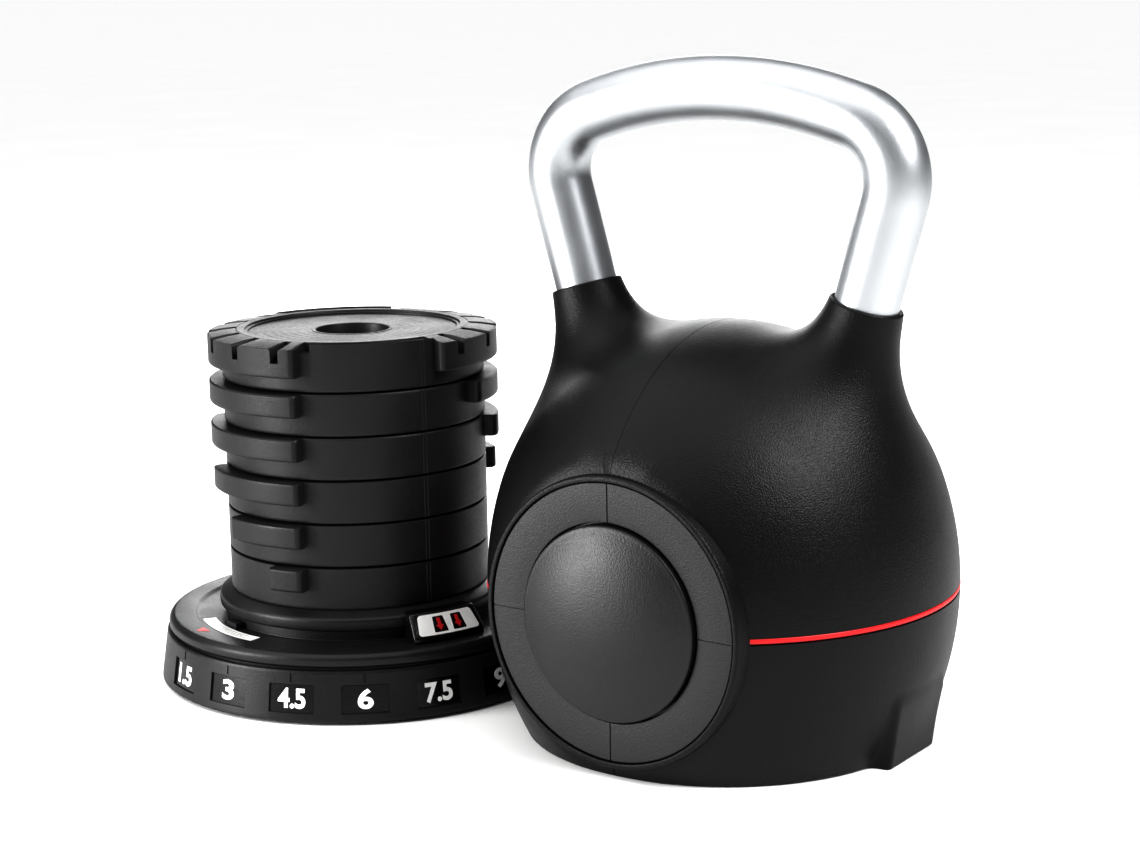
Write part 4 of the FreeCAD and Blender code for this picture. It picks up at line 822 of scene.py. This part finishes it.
class BuildMedallions(bpy.types.Operator):
    """Builds the raised lip, flat ring and domed cap on the bell's front and back."""

    bl_idname = "kettlebell.build_medallions"
    bl_label = "Medallions"
    bl_options = {"REGISTER", "UNDO"}

    def execute(self, context):
        outer = bpy.context.scene.kettlebell_bell.medal_radius * 1000
        even = ring_angles(224)
        lip = eased([(outer + 0.25, 92.0), (outer + 0.25, 104.6), (outer + 3.0, 104.6), (outer + 4.6, 92.0)],
                    [0.2, 0.7, 1.7, 0.2], 6)
        grooves = np.arange(4) * np.pi / 2
        angles = ring_angles(224, grooves, [-0.0072, -0.0048, 0, 0.0048, 0.0072])
        face = 103.75
        plate = eased([(49.0, 99.0), (49.0, face), (outer - 0.3, face), (outer - 0.3, 99.0)],
                      [0.2, 0.55, 0.6, 0.2],
                      4)
        off = np.min(np.abs((angles[:, None] - grooves + np.pi) % (2 * np.pi) - np.pi), axis=1)
        cut = (off < 0.006)[:, None] & (plate[:, 1] > face - 0.45)[None, :]
        cap = cap_outline()
        for face_name, sign in FACES:
            skin(f"medal_lip_{face_name}", faced(revolved(even, lip[:, 0], lip[:, 1]), sign),
                 FINISH["shell"], "bell",
                 "joined")
            skin(f"medallion_ring_{face_name}", faced(revolved(angles, plate[:, 0],
                                                               plate[:, 1] - 0.45 * cut), sign),
                 FINISH["ring"], "bell", "joined", [f"medal_ring_{face_name}"])
            rows = revolved(ring_angles(160), cap[:, 0], cap[:, 1]).transpose(1, 0, 2)
            skin(f"medallion_cap_{face_name}", faced(rows, sign), FINISH["cap"], "bell",
                 replaces=[f"medal_cap_{face_name}"])
            well = eased([(44.5, 97.0), (44.5, 99.6), (50.2, 99.6), (50.2, 97.0)], 0.2, 2)
            skin(f"medal_well_{face_name}", faced(revolved(even, well[:, 0], well[:, 1]), sign),
                 FINISH["polished"],
                 "bell", "joined")
        return {"FINISHED"}


class BuildHandle(bpy.types.Operator):
    """Builds the bent aluminium handle tube."""

    bl_idname = "kettlebell.build_handle"
    bl_label = "Handle"
    bl_options = {"REGISTER", "UNDO"}

    def execute(self, context):
        skin("grip_tube", handle_rows(), FINISH["tube"], "bell", replaces=["handle_tube"])
        return {"FINISHED"}


class BuildPlates(bpy.types.Operator):
    """Builds the six plate jackets with their lugs, notches and grooves."""

    bl_idname = "kettlebell.build_plates"
    bl_label = "Weight plates"
    bl_options = {"REGISTER", "UNDO"}

    def execute(self, context):
        for number in range(1, 7):
            skin(f"jacket_{number}", plate_rows(number), FINISH["plate"], f"plate_{number}",
                 "joined", [f"plate_{number}_jacket"], 34)
        return {"FINISHED"}


class BuildDial(bpy.types.Operator):
    """Builds the dock's number ring, window tiles, printed numbers and the collar under the stack."""

    bl_idname = "kettlebell.build_dial"
    bl_label = "Dial and numbers"
    bl_options = {"REGISTER", "UNDO"}

    def execute(self, context):
        skin("dial_ring", number_ring_rows(), FINISH["dock"], "dock", "joined",
             ["number_ring"], 30)
        inset = bpy.context.scene.kettlebell_dock.window_deep * 1000 - 0.12
        labels = ("1.5", "3", "4.5", "6", "7.5", "9", "10.5")
        for index, (label, middle) in enumerate(zip(labels, window_middles())):
            skin(f"window_tile_{index + 1}", wall_patch(middle, 12.2, 6.3, 20.7, inset, 0.5),
                 FINISH["polished"],
                 "dock")
            wide = {1: 8.4, 3: 15.6, 4: 18.6}[len(label)]
            settle(f"number_{index + 1}", numeral(label, middle, wide, 10.6, inset), FINISH["ink"], "dock",
                   ["number_tiles"] if index == 0 else [], 60)
        collar = eased([(65.0, 5.0), (69.0, 5.0), (69.0, 40.5), (78.5, 40.5), (78.5, 47.1), (72.0, 50.3),
                        (70.5, 50.7), (24.0, 50.7), (24.0, 47.1), (65.0, 47.1)],
                       [0.2, 0.2, 1.2, 1.6, 1.8, 0.8, 0.3, 0.5, 0.3, 0.5], 4)
        skin("stack_collar", revolved(ring_angles(200), collar[:, 0], collar[:, 1]), FINISH["dock"], "dock",
             "joined", ["centre_collar"])
        return {"FINISHED"}


class BuildTurntable(bpy.types.Operator):
    """Builds the turntable disc, its label strip and the red pointer."""

    bl_idname = "kettlebell.build_turntable"
    bl_label = "Turntable"
    bl_options = {"REGISTER", "UNDO"}

    def execute(self, context):
        disc = eased([(69.3, 29.2), (105.6, 29.2), (106.8, 30.4), (106.8, 34.2), (104.6, 36.45), (93.0, 36.5),
                      (91.0, 34.9), (75.3, 34.9), (75.3, 40.1), (69.3, 40.1)],
                     [0.3, 0.5, 0.5, 1.4, 1.2, 0.6, 0.6, 0.4, 0.4, 0.4], 4)
        skin("dial_turntable", revolved(ring_angles(240), disc[:, 0], disc[:, 1]), FINISH["dock"],
             "turntable",
             "joined", ["turntable_disc"])
        pointer = DOCK_FRONT + WINDOW_FIRST
        turns = pointer + np.linspace(-0.042, 0.042, 25)
        tip = 101.4 - 5.6 * np.abs(turns - pointer) / 0.042
        skin("red_pointer", arc_plate(36.42, 95.4, np.maximum(tip, 95.6), turns, 0.2, 0.02),
             FINISH["red_ink"],
             "turntable", "strip", ["pointer"])
        turns = pointer + np.radians(np.linspace(-16, 19.6, 60))
        skin("guide_strip", arc_plate(34.86, 82.2, 89.6, turns, 0.28, 0.08), FINISH["label"], "turntable",
             "strip", ["guide_label"])
        for index, radius in enumerate((84.0, 85.6, 87.2)):
            turns = pointer + np.radians(np.linspace(-13.5, 15.5 - 2.5 * (index % 2), 40))
            skin(f"guide_rule_{index + 1}", arc_plate(35.05, radius, radius + 0.55, turns, 0.14, 0.02),
                 FINISH["grey_ink"], "turntable", "strip")
        return {"FINISHED"}


class BuildBlocks(bpy.types.Operator):
    """Builds the two lifting blocks with their white insets, dark patches and red arrows."""

    bl_idname = "kettlebell.build_blocks"
    bl_label = "Lifting blocks"
    bl_options = {"REGISTER", "UNDO"}

    def execute(self, context):
        for index in range(2):
            middle = BLOCK_TURN + DOCK_FRONT + np.pi * index
            skin(f"lifting_block_{index + 1}", block_rows(middle), FINISH["polished"], "turntable",
                 replaces=["lifting_blocks"] if index == 0 else [])
            skin(f"arrow_panel_{index + 1}",
                 slope_strip(middle, 0, *rounded_widths(1.1, 13.0, 17.8, 16.6, 2.0), 0.3, 0.8),
                 FINISH["white"],
                 "turntable", "strip", ["arrow_plates"] if index == 0 else [])
            for spot, east in enumerate((-5.2, 5.8)):
                skin(f"arrow_patch_{index + 1}_{spot + 1}",
                     slope_strip(middle, east, *rounded_widths(2.4, 11.4, 3.9, 3.1, 0.5, 4), 0.38, 0.3),
                     FINISH["polished"], "turntable", "strip")
                skin(f"arrow_{index + 1}_{spot + 1}",
                     slope_strip(middle, east, [3.4, 6.4, 6.42, 10.4], [0.06, 2.3, 1.05, 1.05], 0.46, 0.2),
                     FINISH["red_ink"], "turntable", "strip")
        return {"FINISHED"}


class BuildSpring(bpy.types.Operator):
    """Builds the lock's coil spring."""

    bl_idname = "kettlebell.build_spring"
    bl_label = "Lock spring"
    bl_options = {"REGISTER", "UNDO"}

    def execute(self, context):
        low, high = (corner[2] * 1000 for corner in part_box("lock_spring"))
        turn = np.linspace(0, 2 * np.pi * 6, 6 * 40)
        wire, coil = 1.0, 12.0
        rise = np.interp(turn, [0, 2 * np.pi * 1, 2 * np.pi * 5, 2 * np.pi * 6],
                         [low + wire, low + wire + 1.6, high - wire - 1.6, high - wire])
        lap = np.linspace(0, 2 * np.pi, 12, endpoint=False)
        radius = coil + wire * np.cos(lap)[None, :]
        rows = np.stack([radius * np.cos(turn)[:, None], radius * np.sin(turn)[:, None],
                         rise[:, None] + wire * np.sin(lap)[None, :]], -1)
        spring = skin("coil_spring", rows + BELL_PLACE, FINISH["spring"], "bell",
                      replaces=["lock_spring"])
        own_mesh(spring)
        return {"FINISHED"}


class FinishCarried(bpy.types.Operator):
    """Gives the CAD pieces that stay their finishes."""

    bl_idname = "kettlebell.finish_carried"
    bl_label = "Carried CAD pieces"
    bl_options = {"REGISTER", "UNDO"}

    carried = {
        "dock": ["base_pan", "locating_tab"],
        "rubber": ["rubber_feet"],
        "zinc": ["collar_screws", "handle_screws", "sleeve_screws", "bridge_screws"],
        "polished": ["centre_post"],
        "glide": ["glide_ring"],
        "turned": ["handle_plugs"],
        "nylon": ["carrier_sleeve", "lock_bridge", "lock_plate"],
        "iron": [f"plate_{number}_core" for number in range(1, 7)],
    }

    def execute(self, context):
        for finish, names in self.carried.items():
            for name in names:
                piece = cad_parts[name]
                piece.data.materials.clear()
                piece.data.materials.append(FINISH[finish])
        return {"FINISHED"}


class SetStage(bpy.types.Operator):
    """Makes the floor, the soft studio lights and the camera."""

    bl_idname = "kettlebell.set_stage"
    bl_label = "Stage"
    bl_options = {"REGISTER", "UNDO"}

    def execute(self, context):
        scene = context.scene
        turn = np.linspace(0, 2 * np.pi, 96, endpoint=False)
        radius = np.array([0.2, 1.0, 12.0, 160.0])[:, None]
        spots = np.stack([radius * np.cos(turn), radius * np.sin(turn), 0 * radius * turn - 0.0002], -1)
        i, j = np.arange(3)[:, None] * 96, np.arange(96)[None, :]
        quads = np.stack([i + j, i + 96 + j, i + 96 + (j + 1) % 96, i + (j + 1) % 96], -1).reshape(-1, 4)
        mesh = bpy.data.meshes.new("studio_floor")
        mesh.from_pydata(spots.reshape(-1, 3), [], quads.tolist() + [list(range(96))])
        # matt white painted board, faintly mottled
        mesh.materials.append(grained("board_painted_white", tint("#efefee"), tint("#f4f4f3"), 0.75, 0.04,
                                      0.004,
                                      0.00002, 0.3, gloss(1.5, 0.2)))
        floor = bpy.data.objects.new("studio_floor", mesh)
        scene.collection.objects.link(floor)
        world = bpy.data.worlds.new("studio_air")
        world.use_nodes = True
        world.node_tree.nodes.clear()
        air = add(world.node_tree, "ShaderNodeBackground", {"Color": tint("#f2f4f7"), "Strength": 0.18})
        add(world.node_tree, "ShaderNodeOutputWorld", {"Surface": air.outputs[0]})
        scene.world = world
        scene.view_settings.view_transform = "Standard"
        scene.view_settings.exposure, scene.view_settings.gamma = 0.35, 0.72
        lights = [
            ("key_box", (-0.66, -1.05, 0.36), 22.0, (0.45, 0.7)),
            ("side_box", (1.25, -0.02, 1.15), 24.0, (0.45, 0.6)),
            ("back_box", (-0.9, 1.5, 0.62), 13.0, (1.2, 0.8)),
        ]
        sky = bpy.data.lights.new("overhead_silk", "SUN")
        sky.energy, sky.angle = 2.45, math.radians(80)
        holder = bpy.data.objects.new("overhead_silk", sky)
        holder.rotation_euler = (math.radians(12), math.radians(-14), 0)
        scene.collection.objects.link(holder)
        aim = np.array([0.12, 0.0, 0.14])
        for name, place, power, (wide, tall) in lights:
            lamp = bpy.data.lights.new(name, "AREA")
            lamp.shape, lamp.size, lamp.size_y, lamp.energy = "RECTANGLE", wide, tall, power
            holder = bpy.data.objects.new(name, lamp)
            away = np.array(place) - aim
            yaw, pitch = math.atan2(away[0], -away[1]), math.acos(away[2] / np.linalg.norm(away))
            holder.location, holder.rotation_euler = place, (pitch, 0, yaw)
            scene.collection.objects.link(holder)
        lens = bpy.data.cameras.new("front_camera")
        lens.lens, lens.sensor_width, lens.sensor_fit = 72.63, 36, "HORIZONTAL"
        lens.clip_start, lens.clip_end = 0.05, 400
        camera = bpy.data.objects.new("front_camera", lens)
        camera.location = (0.81532, -0.95409, 0.37704)
        camera.rotation_euler = tuple(math.radians(v) for v in (78.9601, 0.9815, 34.9119))
        scene.collection.objects.link(camera)
        scene.camera = camera
        return {"FINISHED"}


BUILDERS = (MixFinishes, BuildShell, BuildMedallions, BuildHandle, BuildPlates, BuildDial, BuildTurntable,
            BuildBlocks, BuildSpring, FinishCarried, SetStage)


class KettlebellPanel(bpy.types.Panel):
    """Lists the settings and the builders in the sidebar."""

    bl_idname = "VIEW3D_PT_kettlebell"
    bl_label = "Adjustable kettlebell"
    bl_space_type = "VIEW_3D"
    bl_region_type = "UI"
    bl_category = "Kettlebell"

    def draw(self, context):
        for group in (context.scene.kettlebell_bell, context.scene.kettlebell_dock,
                      context.scene.kettlebell_finish):
            box = self.layout.box()
            for key in group.bl_rna.properties.keys():
                if key not in ("rna_type", "name"):
                    box.prop(group, key)
        for builder in BUILDERS:
            self.layout.operator(builder.bl_idname)


CLASSES = (BellSettings, DockSettings, FinishSettings, *BUILDERS, KettlebellPanel)


def register():
    for kind in CLASSES:
        bpy.utils.register_class(kind)
    bpy.types.Scene.kettlebell_bell = PointerProperty(type=BellSettings)
    bpy.types.Scene.kettlebell_dock = PointerProperty(type=DockSettings)
    bpy.types.Scene.kettlebell_finish = PointerProperty(type=FinishSettings)


def unregister():
    del bpy.types.Scene.kettlebell_bell, bpy.types.Scene.kettlebell_dock, bpy.types.Scene.kettlebell_finish
    for kind in reversed(CLASSES):
        bpy.utils.unregister_class(kind)


def main():
    """Registers the add-on and runs the builders in order."""
    register()
    for builder in BUILDERS:
        group, name = builder.bl_idname.split(".")
        getattr(getattr(bpy.ops, group), name)()


if __name__ == "__main__":
    main()
